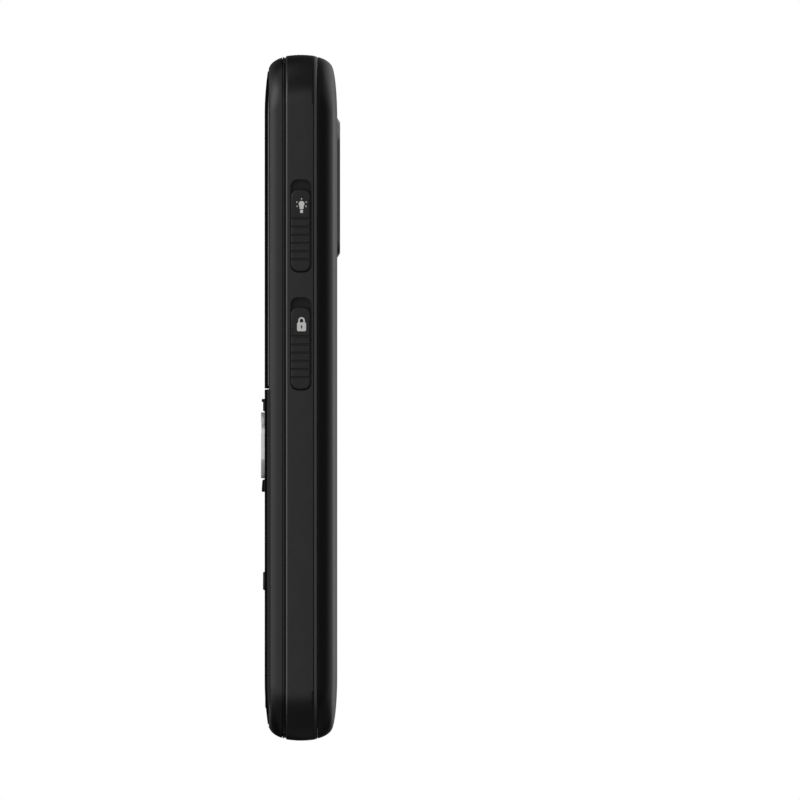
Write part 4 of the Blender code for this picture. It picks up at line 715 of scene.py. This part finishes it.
# Key prints: white digits with their small letters, printed and lacquered on the caps, a light bar on each soft
# key, a green handset on the call key and a red one on the end key.
print_white = coloured("print_white", (0.70, 0.70, 0.68), (0.80, 0.80, 0.78), 0.5, size=0.0001, depth=0.000004)
print_green = coloured("print_green", (0.02, 0.33, 0.06), (0.03, 0.42, 0.08), 0.5, size=0.0001, depth=0.000004)
print_red = coloured("print_red", (0.55, 0.02, 0.02), (0.66, 0.03, 0.02), 0.5, size=0.0001, depth=0.000004)
print_y = -6.922e-3
print_half = 0.000006


def printed_text(words, size, x, z, align="CENTER"):
    """A thin layer of ink in the shape of a few characters, on the faces of the keys."""
    bpy.ops.object.select_all(action="DESELECT")
    bpy.ops.object.text_add(location=(x, print_y, z), rotation=(math.pi / 2, 0, 0))
    ink = bpy.context.object
    ink.data.body = words
    ink.data.size = size
    ink.data.align_x = align
    ink.data.align_y = "CENTER"
    ink.data.extrude = print_half
    ink.data.resolution_u = 6
    bpy.ops.object.convert(target="MESH")
    return place_mesh(bpy.context.object)


def handset_print(name, x, z, tilt):
    """A handset seen from the side: a bar with an ear and a mouth pad, turned by its tilt."""
    low, high = -print_half, print_half
    bar = rounded_box(name, (-0.00235, low, 0.00020), (0.00235, high, 0.00095), 0.00035, steps=6)
    for side in (-1, 1):
        edges = sorted((side * 0.00112, side * 0.00240))
        pad = rounded_box("pad", (edges[0], low, -0.00085), (edges[1], high, 0.00090), 0.00030, steps=6)
        cut_away(bar, pad, operation="UNION")
    bar.rotation_euler = (0, tilt, 0)
    bar.location = (x, print_y, z)
    return place_mesh(bar)


letters = {"2": "abc", "3": "def", "4": "ghi", "5": "jkl", "6": "mno", "7": "pqrs", "8": "tuv", "9": "wxyz", "0": "+"}
for node in digit_nodes:
    mark = node.removeprefix("key_")
    x, z = key_places[node]
    shift = -0.0044 if mark in letters else 0.0
    shown = {"star": "*", "hash": "#"}.get(mark, mark)
    size = 0.0082 if mark == "star" else 0.0058
    drop = 0.0013 if mark == "star" else 0.0
    ink = printed_text(shown, size, x + shift, z - drop)
    if mark in letters:
        ink = merge_objects(ink, printed_text(letters[mark], 0.0021, x + 0.0022, z - 0.0001, "LEFT"))
    ink.name = f"print_{mark}"
    fit_piece(ink, print_white, node, "white_plastic", angle=20)
for node in ("soft_key_left", "soft_key_right"):
    x, z = key_places[node]
    bar = rounded_box(
        f"print_{node}",
        (x - 0.0018, print_y - print_half, z - 0.00035),
        (x + 0.0018, print_y + print_half, z + 0.00035),
        0.00034,
        steps=6,
    )
    fit_piece(bar, print_white, node, "white_plastic", angle=20)
for node, tilt, ink in (("call_key", -0.7, print_green), ("end_key", 0.0, print_red)):
    x, z = key_places[node]
    fit_piece(handset_print(f"print_{node}", x, z, tilt), ink, node, "white_plastic", angle=20)

# Navigation rocker: one moulded plate with a raised step at its upper end, a raised slope at its lower end and a
# valley between them. It tips about its middle, and its square hole lets the centre key through.
nav_low, nav_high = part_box("nav_rocker")
nav_z = (nav_low.z + nav_high.z) / 2
nav_half = (0.0110, 0.0091)
nav_lip = 0.0005
start = (nav_high.y, -nav_lip, -nav_lip)
rim = [(5.394, -0.5), (5.394, 0.0), (7.42, 0.0), (7.50, 0.035), (7.555, 0.10), (7.585, 0.19), (7.59, 0.28)]
rocker = pushed_shape("navigation_rocker", (0, nav_z), nav_half, start, 0.0045, 16, rings_mm(rim, -1))
end_edit()
valley_y, valley_half, valley_flare = -6.99e-3, 6.72e-3, 7.5e-3
clear_out = 0.02
valley = rounded_box(
    "tool", (-clear_out, -clear_out, nav_z - valley_half), (clear_out, valley_y, nav_z + valley_half), 0.30e-3, "X", 6
)
start_edit(valley)
for side in (-1, 1):
    pick("VERT", lambda v: v.co.y < -0.01 and (v.co.z - nav_z) * side > 0)
    bpy.ops.transform.translate(value=(0, 0, side * valley_flare))
end_edit()
upper_y, lower_y, lower_drop = -7.320e-3, -7.435e-3, -0.150e-3
step_end, slope_end, slope_start = 8.50e-3, 8.60e-3, 6.60e-3
upper_step = rounded_box(
    "tool", (-clear_out, -clear_out, nav_z), (clear_out, upper_y, nav_z + step_end), 0.18e-3, "X", 5
)
lower_slope = rounded_box(
    "tool", (-clear_out, -clear_out, nav_z - slope_end), (clear_out, lower_y, nav_z - slope_start)
)
start_edit(lower_slope)
pick("VERT", lambda v: v.co.y > -clear_out / 2 and v.co.z < nav_z - (slope_start + slope_end) / 2)
bpy.ops.transform.translate(value=(0, lower_drop, 0))
end_edit()
well_half = 0.00665
well = rounded_box(
    "tool", (-well_half, -clear_out, nav_z - well_half), (well_half, clear_out, nav_z + well_half), 0.0044, steps=16
)
cut_away(rocker, valley, upper_step, lower_slope, well)
fit_piece(rocker, key_plastic, "nav_rocker", "key", "nav_rocker")
arrow_size, arrow_out = 0.00062, 7.60e-3
for side in (-1, 1):
    bpy.ops.mesh.primitive_cylinder_add(vertices=3, radius=arrow_size, depth=2 * print_half, location=(0, 0, 0))
    arrow = bpy.context.object
    arrow.name = "print_up" if side > 0 else "print_down"
    start_edit(arrow)
    pick("EDGE", lambda e: abs(e.verts[0].co.z - e.verts[1].co.z) > print_half)
    bpy.ops.mesh.bevel(offset=0.00013, segments=4, affect="EDGES")
    end_edit()
    arrow_y = upper_y if side > 0 else lower_y + lower_drop * 0.52
    arrow.location = (0, arrow_y - 0.000002, nav_z + side * arrow_out)
    lean = 0 if side > 0 else math.atan2(-lower_drop, slope_end - slope_start)
    arrow.rotation_euler = (math.pi / 2 - lean, 0, 0)
    if side < 0:
        start_edit(arrow)
        bpy.ops.mesh.select_all(action="SELECT")
        bpy.ops.transform.rotate(value=math.pi, orient_axis="Z", orient_type="LOCAL", center_override=arrow.location)
        end_edit()
    place_mesh(arrow)
    fit_piece(arrow, print_white, "nav_rocker", "white_plastic", angle=20)

# Trim ring and centre key: a satin chrome ring pressed round the centre key, the front-most part of the phone. Its pale
# colour is partly real metal gloss and partly painted reflection. The key inside it is slightly dished for the thumb.
# Painted reflection: much of the ring's pale colour is a white base colour, not metal, standing in for the bright
# reflections of a chrome ring.
chrome = coloured(
    "chrome", (0.93, 0.93, 0.94), (0.96, 0.96, 0.97), 0.14, metal=0.38, depth=0.0000005, gloss_change=0.03
)
ring_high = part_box("ok_trim_ring")[1]
ring_half = (ring_high.x, ring_high.x)
start = (ring_high.y, 0.0, 0.0)
wall = [
    (7.60, 0.0), (7.67, 0.025), (7.715, 0.075), (7.735, 0.14), (7.74, 0.22), (7.74, 0.52), (7.735, 0.62),
    (7.715, 0.70), (7.67, 0.76), (7.60, 0.80), (6.98, 0.80),
]
trim = pushed_shape("trim_ring", (0, nav_z), ring_half, start, 0.0042, 20, rings_mm(wall, -1))
open_ring()
end_edit()
fit_piece(trim, chrome, "ok_key", "chrome_trim", "ok_trim_ring")
start = (-4.42e-3, 0.0, 0.0)
dish = [
    (6.77, 0.0), (6.77, 0.95), (7.12, 0.95), (7.24, 0.98), (7.31, 1.06), (7.345, 1.20), (7.35, 1.36),
    (7.335, 1.70), (7.30, 2.40), (7.27, 3.30), (7.255, 4.60),
]
centre_key = pushed_shape("centre_key", (0, nav_z), ring_half, start, 0.0042, 16, rings_mm(dish, -1))
end_edit()
fit_piece(centre_key, key_plastic, "ok_key", "key", "ok_key")

# Side sliders: the torch slider above the lock slider, each a ribbed cap that runs in its slot, with a flange
# behind the wall and a nub that works its switch. White prints show a light bulb and a padlock.
cap_face = 0.03024
rib_first = 0.00242
rib_spacing = 0.0016


def slider_cap(name, node):
    """A cap with a rounded rim and six cross grooves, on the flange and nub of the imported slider."""
    low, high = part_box(node)
    low_z, high_z = low.z + 0.00205, high.z - 0.00205
    cap = rounded_box(
        name,
        (0.0280, middle_y - 0.00193, low_z),
        (cap_face, middle_y + 0.00193, high_z),
        0.00145,
        "X",
        12,
        rim=0.00034,
        rim_steps=5,
        rim_side=1,
    )
    for count in range(6):
        z = low_z + rib_first + count * rib_spacing
        cut_away(
            cap,
            rounded_box(
                "tool",
                (cap_face - 0.00026, middle_y - 0.004, z - 0.00020),
                (cap_face + 0.001, middle_y + 0.004, z + 0.00020),
                0.00012,
                "Y",
                4,
            ),
        )
    back = copy_solid(node, "back_of_slider")
    cut_away(back, rounded_box("tool", (0.02, -0.01, 0.05), (0.0282, 0.01, 0.12)), operation="INTERSECT")
    return cut_away(cap, back, operation="UNION")


icon_low, icon_high = cap_face - 0.000008, cap_face + 0.000008
for node in ("torch_slider", "lock_slider"):
    fit_piece(slider_cap(f"{node}_cap", node), key_plastic, node, "key", node)
across = middle_y + 0.00013
bulb = round_bar("bulb_print", (0, across, 0.10487), 0.00057, icon_low, icon_high, "X", 32)
neck = rounded_box(
    "neck", (icon_low, across - 0.00040, 0.10385), (icon_high, across + 0.00040, 0.10480), 0.00020, "X", 4
)
foot = rounded_box(
    "foot", (icon_low, across - 0.00028, 0.10310), (icon_high, across + 0.00028, 0.10372), 0.00014, "X", 4
)
cut_away(bulb, neck, operation="UNION")
rays = []
for angle in (-28, 22, 90, 158, 208):
    reach = 0.00098
    spot = (0, across + reach * math.cos(math.radians(angle)), 0.10487 + reach * math.sin(math.radians(angle)))
    rays.append(round_bar("ray", spot, 0.00013, icon_low, icon_high, "X", 12))
merge_objects(bulb, foot, *rays)
fit_piece(bulb, print_white, "torch_slider", "white_plastic", angle=20)
padlock = rounded_box(
    "padlock_print", (icon_low, across - 0.00088, 0.08000), (icon_high, across + 0.00088, 0.08172), 0.00026, "X", 6
)
shackle = round_bar("shackle", (0, across, 0.08210), 0.00064, icon_low, icon_high, "X", 32)
leg = rounded_box("leg", (icon_low, across - 0.00064, 0.08160), (icon_high, across + 0.00064, 0.08210))
cut_away(shackle, leg, operation="UNION")
hole = round_bar("tool", (0, across, 0.08210), 0.00034, 0.02, 0.04, "X", 24)
cut_away(shackle, hole, rounded_box("tool", (0.02, across - 0.00034, 0.0817), (0.04, across + 0.00034, 0.0821)))
cut_away(padlock, shackle, operation="UNION")
keyhole = rounded_box("tool", (0.02, across - 0.00012, 0.08052), (0.04, across + 0.00012, 0.08118), 0.0001, "X", 4)
cut_away(padlock, keyhole)
fit_piece(padlock, print_white, "lock_slider", "white_plastic", angle=20)

# Volume rocker: one long key on the other side that tips on its stem, with a shallow waist in its middle and a
# plus and a minus printed on its ends.
low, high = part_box("volume_rocker")
volume = rounded_box(
    "volume_key",
    (-cap_face, middle_y - 0.0016, low.z),
    (-0.0282, middle_y + 0.0016, high.z),
    0.00150,
    "X",
    12,
    rim=0.00030,
    rim_steps=5,
    rim_side=-1,
)
waist = round_bar("tool", (-cap_face - 0.0197, 0, (low.z + high.z) / 2), 0.0199, -0.01, 0.01, "Y", 256)
cut_away(volume, waist)
back = copy_solid("volume_rocker", "back_of_rocker")
cut_away(back, rounded_box("tool", (-0.0285, -0.01, 0.08), (-0.02, 0.01, 0.12)), operation="INTERSECT")
cut_away(volume, back, operation="UNION")
fit_piece(volume, key_plastic, "volume_rocker", "key", "volume_rocker")
for name, z, upright in (("print_plus", high.z - 0.0032, True), ("print_minus", low.z + 0.0032, False)):
    bar = rounded_box(
        name, (-icon_high, middle_y - 0.0007, z - 0.00013), (-icon_low, middle_y + 0.0007, z + 0.00013), 0.0001, "X", 3
    )
    if upright:
        bar_up = rounded_box(
            "up",
            (-icon_high, middle_y - 0.00013, z - 0.0007),
            (-icon_low, middle_y + 0.00013, z + 0.0007),
            0.0001,
            "X",
            3,
        )
        cut_away(bar, bar_up, operation="UNION")
    fit_piece(bar, print_white, "volume_rocker", "white_plastic", angle=20)

# Camera island: a gloss plate with sloping sides that stands out of the back through the cover. It holds the
# camera's window at the top and the call-for-help button below it.
start = (island_low.y, 0.0, 0.0)
island_half = ((island_high.x - island_low.x) / 2, (island_high.z - island_low.z) / 2)
island_z = (island_low.z + island_high.z) / 2
slope = [(7.09, 0.0), (7.15, 0.03), (7.24, 0.12), (7.55, 0.62), (7.67, 0.80), (7.72, 0.90), (7.736, 0.97), (7.74, 1.06)]
island = pushed_shape("camera_island", (0, island_z), island_half, start, 0.005, 24, rings_mm(slope))
end_edit()
window_z, help_z = 0.1150, 0.1028
seat = round_bar("tool", (0, 0, window_z), 0.00405, 6.84e-3, 0.02, steps=96)
hole = round_bar("tool", (0, 0, window_z), 0.00310, 0.0, 0.02, steps=64)
button_hole = round_bar("tool", (0, 0, help_z), 0.00555, 0.0, 0.02, steps=96)
cut_away(island, seat, hole, button_hole)
fit_piece(island, gloss_plastic, "handset", "front_gloss", "back_island_plate")

# Camera: a clear window with a black printed border, and behind it the barrel with its stepped rings and a small
# coated lens.
clear_glass = bpy.data.materials.new("clear_glass")
clear_glass.use_nodes = True
glass_shader = clear_glass.node_tree.nodes["Principled BSDF"]
glass_shader.inputs["Base Color"].default_value = (0.97, 0.98, 0.98, 1)
glass_shader.inputs["Transmission Weight"].default_value = 1.0
glass_shader.inputs["IOR"].default_value = 1.5
smudge = add_node(clear_glass.node_tree, "TexNoise", {"Scale": 700.0, "Detail": 4.0})
where = add_node(clear_glass.node_tree, "TexCoord").outputs["Object"]
clear_glass.node_tree.links.new(where, smudge.inputs["Vector"])
haze = add_node(clear_glass.node_tree, "MapRange", {0: smudge.outputs[0], 3: 0.0, 4: 0.06})
clear_glass.node_tree.links.new(haze.outputs[0], glass_shader.inputs["Roughness"])
window = round_bar(
    "camera_glass", (0, 0, window_z), 0.0039, 7.04e-3, 7.735e-3, steps=96, rim=0.00012, rim_steps=3, rim_side=1
)
fit_piece(window, clear_glass, "handset", "clear", "camera_window")
border = round_bar("window_border", (0, 0, window_z), 0.00370, 6.885e-3, 7.02e-3, steps=96)
cut_away(border, round_bar("tool", (0, 0, window_z), 0.00215, 0.0, 0.02, steps=64))
fit_piece(border, glass_black, "handset", "front_gloss")
start = (5.2e-3, 0.0, 0.0)
steps = [(6.70, 0.0), (6.74, 0.05), (6.75, 0.12), (6.75, 0.75), (6.45, 0.80), (6.45, 1.10), (6.25, 1.14), (6.25, 1.45)]
barrel = pushed_shape("lens_barrel", (0, window_z), (0.0030, 0.0030), start, 0.003, 24, rings_mm(steps))
end_edit()
fit_piece(barrel, gloss_plastic, "handset", "front_gloss")
coated_glass = coloured(
    "coated_glass", (0.010, 0.012, 0.035), (0.020, 0.014, 0.045), 0.03, depth=0.0000003, gloss_change=0.02
)
bpy.ops.mesh.primitive_uv_sphere_add(segments=48, ring_count=32, radius=0.0028, location=(0, 4.02e-3, window_z))
front_lens = place_mesh(bpy.context.object)
front_lens.name = "front_lens"
cut_flat(front_lens, (0, 6.30e-3, 0), (0, 1, 0), clear_inner=True)
fit_piece(front_lens, coated_glass, "handset", "front_gloss")

# Call-for-help button: a round key on the island with a dished face and a raised ring to find by feel, on a
# flange under the plate.
rubber_black = plastic("rubber_black", 0.012, 0.62, size=0.00015, depth=0.00002)
help_low, help_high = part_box("sos_button")
button = round_bar("help_button", (0, 0, help_z), 0.0061, help_low.y, help_low.y + 0.0007, steps=96)
stem = round_bar(
    "stem", (0, 0, help_z), 0.0054, help_low.y, help_high.y, steps=96, rim=0.00032, rim_steps=5, rim_side=1
)
dish_radius, dish_rise = 0.030, 0.02964
bpy.ops.mesh.primitive_uv_sphere_add(
    segments=96, ring_count=96, radius=dish_radius, location=(0, help_high.y + dish_rise, help_z)
)
bowl = place_mesh(bpy.context.object)
bowl.name = "tool"
groove = round_bar("tool", (0, 0, help_z), 0.0030, help_high.y - 0.0004, 0.02, steps=72)
cut_away(groove, round_bar("tool", (0, 0, help_z), 0.0025, 0.0, 0.03, steps=72))
cut_away(stem, bowl, groove)
cut_away(button, stem, operation="UNION")
fit_piece(button, key_plastic, "sos_button", "key", "sos_button")

# Charging socket: a drawn steel shell with a rolled mouth and a plastic tongue that carries gold contacts.
steel = coloured("steel", (0.48, 0.48, 0.49), (0.58, 0.58, 0.59), 0.26, metal=1.0, size=0.0004, depth=0.000003)
gold = coloured("gold", (0.80, 0.52, 0.16), (0.88, 0.60, 0.22), 0.22, metal=1.0, size=0.0004, depth=0.000002)
low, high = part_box("usb_socket")
socket = rounded_box("charging_socket", low, high, 0.00150, "Z", 14, rim=0.00010, rim_steps=3, rim_side=-1)
cut_away(
    socket,
    rounded_box(
        "tool",
        (low.x + 0.0003, low.y + 0.0003, -0.001),
        (high.x - 0.0003, high.y - 0.0003, high.z - 0.001),
        0.00125,
        "Z",
        14,
    ),
)
fit_piece(socket, steel, "handset", "sheet_steel", "usb_socket")
tongue = rounded_box(
    "socket_tongue",
    (-0.00335, middle_y - 0.00035, low.z + 0.0010),
    (0.00335, middle_y + 0.00035, high.z - 0.0008),
    0.0002,
    "Z",
    4,
)
fit_piece(tongue, rubber_black, "handset", "front_gloss")
contacts = []
for side in (-1, 1):
    for count in range(12):
        x = (count - 5.5) * 0.0005
        y = middle_y + side * 0.00036
        contacts.append(
            rounded_box(
                "contact",
                (x - 0.00013, y - 0.00003, low.z + 0.0013),
                (x + 0.00013, y + 0.00003, high.z - 0.0030),
                0.00002,
                "Z",
                1,
            )
        )
pins = merge_objects(*contacts)
pins.name = "socket_contacts"
fit_piece(pins, gold, "handset", "sheet_steel")

# Headphone socket: a moulded barrel block with a steel nose ring, and a gold spring in its bore.
low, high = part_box("headphone_socket")
jack = rounded_box("jack_block", (low.x, low.y, low.z + 0.0021), high, 0.0005, "Z", 4, rim=0.0002, rim_side=1)
nose = round_bar("nose", (jack_x, middle_y, 0), 0.0021, low.z + 0.0010, low.z + 0.0030, "Z", 64)
cut_away(jack, nose, operation="UNION")
cut_away(jack, round_bar("tool", (jack_x, middle_y, 0), 0.0018, -0.01, high.z - 0.001, "Z", 64))
fit_piece(jack, rubber_black, "handset", "front_gloss", "headphone_socket")
nose_ring = round_bar(
    "jack_ring", (jack_x, middle_y, 0), 0.0022, low.z, low.z + 0.0009, "Z", 72, rim=0.00015, rim_steps=4, rim_side=-1
)
cut_away(nose_ring, round_bar("tool", (jack_x, middle_y, 0), 0.0018, -0.01, 0.01, "Z", 72))
fit_piece(nose_ring, steel, "handset", "sheet_steel")
spring = rounded_box(
    "jack_spring", (0.0163, middle_y - 0.0004, 0.0045), (0.0167, middle_y + 0.0004, 0.0085), 0.00015, "Y", 4
)
fit_piece(spring, gold, "handset", "sheet_steel")

# Torch: a small clear lens with ring steps set in the top end, over a white light with a yellow phosphor dot.
low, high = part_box("torch_lens")
torch = round_bar("torch_glass", (0, middle_y, 0), 0.0022, low.z, high.z, "Z", 72, rim=0.00018, rim_steps=4, rim_side=1)
for radius in (0.0016, 0.0011):
    groove = round_bar("tool", (0, middle_y, 0), radius, high.z - 0.00012, 0.14, "Z", 64)
    cut_away(groove, round_bar("tool", (0, middle_y, 0), radius - 0.00016, 0.1, 0.15, "Z", 64))
    cut_away(torch, groove)
fit_piece(torch, clear_glass, "handset", "clear", "torch_lens")
white_plastic = coloured("white_plastic", (0.72, 0.72, 0.70), (0.80, 0.80, 0.78), 0.42)
phosphor = coloured("phosphor", (0.80, 0.62, 0.10), (0.86, 0.70, 0.18), 0.5)
low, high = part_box("torch_led")
led = rounded_box("torch_light", low, high, 0.0003, "Z", 4, rim=0.0001, rim_side=1)
cut_away(led, round_bar("tool", (0, (low.y + high.y) / 2, 0), 0.0005, high.z - 0.0002, 0.14, "Z", 32))
fit_piece(led, white_plastic, "handset", "white_plastic", "torch_led")
chip_y = (low.y + high.y) / 2
chip = round_bar("torch_chip", (0, chip_y, 0), 0.00048, high.z - 0.0002, high.z - 0.00006, "Z", 32, rim=0.00005)
fit_piece(chip, phosphor, "handset", "white_plastic")

# Battery: a slim pouch cell in a smooth dark wrap with rounded long edges, a taped seam and a plastic end cap that
# carries three gold pads. It lifts out when the cover is off.
wrap = coloured("battery_wrap", (0.020, 0.021, 0.024), (0.030, 0.031, 0.036), 0.30, size=0.0006, depth=0.000008)
low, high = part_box("battery")
cell = rounded_box("battery_cell", low, (high.x, high.y, high.z - 0.0042), 0.0012, "Z", 8)
start_edit(cell)
pick("EDGE", lambda e: all(abs(v.co.z - low.z) < 1e-7 for v in e.verts))
bpy.ops.mesh.bevel(offset=0.0004, segments=4, affect="EDGES", clamp_overlap=False)
end_edit()
for y in (low.y + 0.00155, high.y - 0.00155):
    for side in (-1, 1):
        x = side * high.x
        seam = rounded_box("tool", (x - 0.00006, y - 0.00006, low.z - 0.001), (x + 0.00006, y + 0.00006, high.z))
        cut_away(cell, seam)
fit_piece(cell, wrap, "handset", "battery_wrap", "battery")
end_cap = rounded_box(
    "battery_cap", (low.x, low.y, high.z - 0.0041), (high.x, high.y, high.z), 0.0012, "Z", 8, rim=0.0003, rim_side=1
)
for count in range(3):
    x = (count - 1) * 0.0034
    cut_away(
        end_cap, rounded_box("tool", (x - 0.0011, 0.0030, high.z - 0.0003), (x + 0.0011, 0.0048, 0.1), 0.0002, "Z", 3)
    )
fit_piece(end_cap, rubber_black, "handset", "battery_wrap")
pads = []
for count in range(3):
    x = (count - 1) * 0.0034
    pads.append(
        rounded_box(
            "pad", (x - 0.00105, 0.00305, high.z - 0.0003), (x + 0.00105, 0.00475, high.z - 0.0001), 0.0002, "Z", 3
        )
    )
battery_pads = merge_objects(*pads)
battery_pads.name = "battery_pads"
fit_piece(battery_pads, gold, "handset", "sheet_steel")

# Battery contacts: a black block through the bulkhead with three bent gold springs towards the battery.
low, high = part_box("battery_contacts")
block = rounded_box("contact_block", low, (high.x, high.y, high.z), 0.0003, "Y", 3, rim=0.0002, rim_side=1)
for count in range(3):
    x = (count - 1) * 0.0034
    cut_away(block, rounded_box("tool", (x - 0.0006, 0.0022, low.z - 0.001), (x + 0.0006, 0.01, high.z - 0.0008)))
fit_piece(block, rubber_black, "handset", "front_gloss", "battery_contacts")
leaves = []
for count in range(3):
    x = (count - 1) * 0.0034
    leaf = round_bar("leaf", (x, 0.0029, low.z + 0.0006), 0.0005, x - 0.00045, x + 0.00045, "X", 24)
    cut_away(leaf, round_bar("tool", (x, 0.0029, low.z + 0.0006), 0.00038, x - 0.001, x + 0.001, "X", 24))
    leaves.append(leaf)
contact_springs = merge_objects(*leaves)
contact_springs.name = "contact_springs"
fit_piece(contact_springs, gold, "handset", "sheet_steel")

# Card holder and card: a pressed steel cage with a window and stiffening slots, and a white card in it with one
# cut corner.
low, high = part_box("sim_holder")
cage = copy_solid("sim_holder", "card_holder")
for z in (low.z + 0.0024, low.z + 0.0052):
    slot_low, slot_high = (low.x + 0.0030, high.y - 0.0006, z), (high.x - 0.0030, high.y + 0.01, z + 0.0016)
    cut_away(cage, rounded_box("tool", slot_low, slot_high, 0.0004, steps=6))
fit_piece(cage, steel, "handset", "sheet_steel", "sim_holder")
low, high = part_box("sim_card")
card = rounded_box("card", low, high, 0.0008, steps=6)
cut_flat(card, (high.x - 0.0016, 0, low.z), (1, 0, -1), clear_outer=True)
fit_piece(card, white_plastic, "handset", "white_plastic", "sim_card")

# Loudspeaker: a moulded frame with a foam gasket round its mouth and a domed diaphragm inside.
low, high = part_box("loudspeaker")
speaker = rounded_box("speaker_frame", low, (high.x, high.y - 0.0003, high.z), 0.002, steps=8, rim=0.0002, rim_side=1)
cut_away(
    speaker,
    rounded_box(
        "tool",
        (low.x + 0.0014, high.y - 0.0012, low.z + 0.0014),
        (high.x - 0.0014, 0.02, high.z - 0.0014),
        0.0014,
        steps=8,
    ),
)
fit_piece(speaker, rubber_black, "handset", "front_gloss", "loudspeaker")
gasket = rounded_box(
    "speaker_gasket",
    (low.x + 0.0003, high.y - 0.0003, low.z + 0.0003),
    (high.x - 0.0003, high.y, high.z - 0.0003),
    0.0018,
    steps=8,
)
cut_away(
    gasket,
    rounded_box(
        "tool", (low.x + 0.0014, 0.0, low.z + 0.0014), (high.x - 0.0014, 0.02, high.z - 0.0014), 0.0014, steps=8
    ),
)
fit_piece(gasket, rubber_black, "handset", "mat_rubber")
mid_x, mid_z = (low.x + high.x) / 2, (low.z + high.z) / 2
cone_half = ((high.x - low.x) / 2 - 0.0016, (high.z - low.z) / 2 - 0.0016)
start = (high.y - 0.0012, 0.0, 0.0)
cone_section = [(0.10, 0.0), (0.28, 0.18), (0.36, 0.42), (0.28, 0.66), (0.08, 0.84), (0.08, 1.00)]
cone_section += [(0.30, 1.50), (0.42, 2.20)]
rings = [(start[0] + rise / 1000, inset / 1000, inset / 1000) for rise, inset in cone_section]
cone = pushed_shape("speaker_cone", (mid_x, mid_z), cone_half, start, 0.0012, 8, rings)
end_edit()
fit_piece(cone, dark_steel, "handset", "front_gloss")

# Vibration motor and weight: a drawn steel can with a black end, and a half disc of heavy metal on its shaft.
low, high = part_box("vibration_motor")
axis_y, axis_z = (low.y + high.y) / 2, (low.z + high.z) / 2
can = round_bar("motor_can", (0, axis_y, axis_z), 0.0018, low.x, high.x, "X", 64, rim=0.0003, rim_steps=4, rim_side=1)
for x in (low.x + 0.0012, high.x - 0.0014):
    ring = round_bar("tool", (0, axis_y, axis_z), 0.0030, x, x + 0.0002, "X", 64)
    cut_away(ring, round_bar("tool", (0, axis_y, axis_z), 0.00174, -0.01, 0.02, "X", 64))
    cut_away(can, ring)
fit_piece(can, steel, "handset", "sheet_steel", "vibration_motor")
weight = copy_solid("motor_weight", "turning_weight")
fit_piece(weight, steel, "motor_weight", "sheet_steel", "motor_weight")

# Screws: four small pan-head screws with a pressed cross, through the bulkhead into the front housing.
screw_steel = coloured("screw_steel", (0.10, 0.10, 0.11), (0.18, 0.18, 0.19), 0.3, metal=1.0, size=0.0002)
for node in ("screw_top_left", "screw_top_right", "screw_middle_left", "screw_middle_right"):
    low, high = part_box(node)
    x, z = (low.x + high.x) / 2, (low.z + high.z) / 2
    screw = round_bar(
        f"{node}_head", (x, 0, z), 0.0014, high.y - 0.0009, high.y, steps=40, rim=0.0003, rim_steps=4, rim_side=1
    )
    shank = round_bar("shank", (x, 0, z), 0.0007, low.y + 0.0002, high.y - 0.0005, steps=24, rim=0.0002, rim_side=-1)
    cut_away(screw, shank, operation="UNION")
    for reach_x, reach_z in ((0.00075, 0.00018), (0.00018, 0.00075)):
        cross_low, cross_high = (x - reach_x, high.y - 0.0005, z - reach_z), (x + reach_x, high.y + 0.001, z + reach_z)
        cut_away(screw, rounded_box("tool", cross_low, cross_high, 0.0001, steps=2))
    fit_piece(screw, screw_steel, "handset", "sheet_steel", node)

# Inner works: the board, its can and switches, the display panel in its tray, the key mat and the dome sheet keep
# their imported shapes, and take the finish of the real ones.
board_green = coloured("board_green", (0.006, 0.055, 0.022), (0.010, 0.080, 0.034), 0.35, size=0.0003)
panel_glass = coloured("panel_glass", (0.008, 0.009, 0.013), (0.012, 0.013, 0.018), 0.08, depth=0.000001)
mat_rubber = coloured("mat_rubber", (0.05, 0.05, 0.052), (0.08, 0.08, 0.083), 0.65, size=0.0002, depth=0.00001)
kept = {
    board_green: ["main_board"],
    panel_glass: ["lcd_panel"],
    steel: ["lcd_tray", "shield_can", "dome_sheet", "earpiece", "microphone"],
    dark_steel: ["torch_switch", "lock_switch", "volume_switch", "sos_switch"],
    mat_rubber: ["keypad_mat"],
    gloss_plastic: ["camera_module"],
}
for finish, nodes in kept.items():
    for node in nodes:
        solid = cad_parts[node]
        for slot in solid.material_slots:
            slot.material = finish
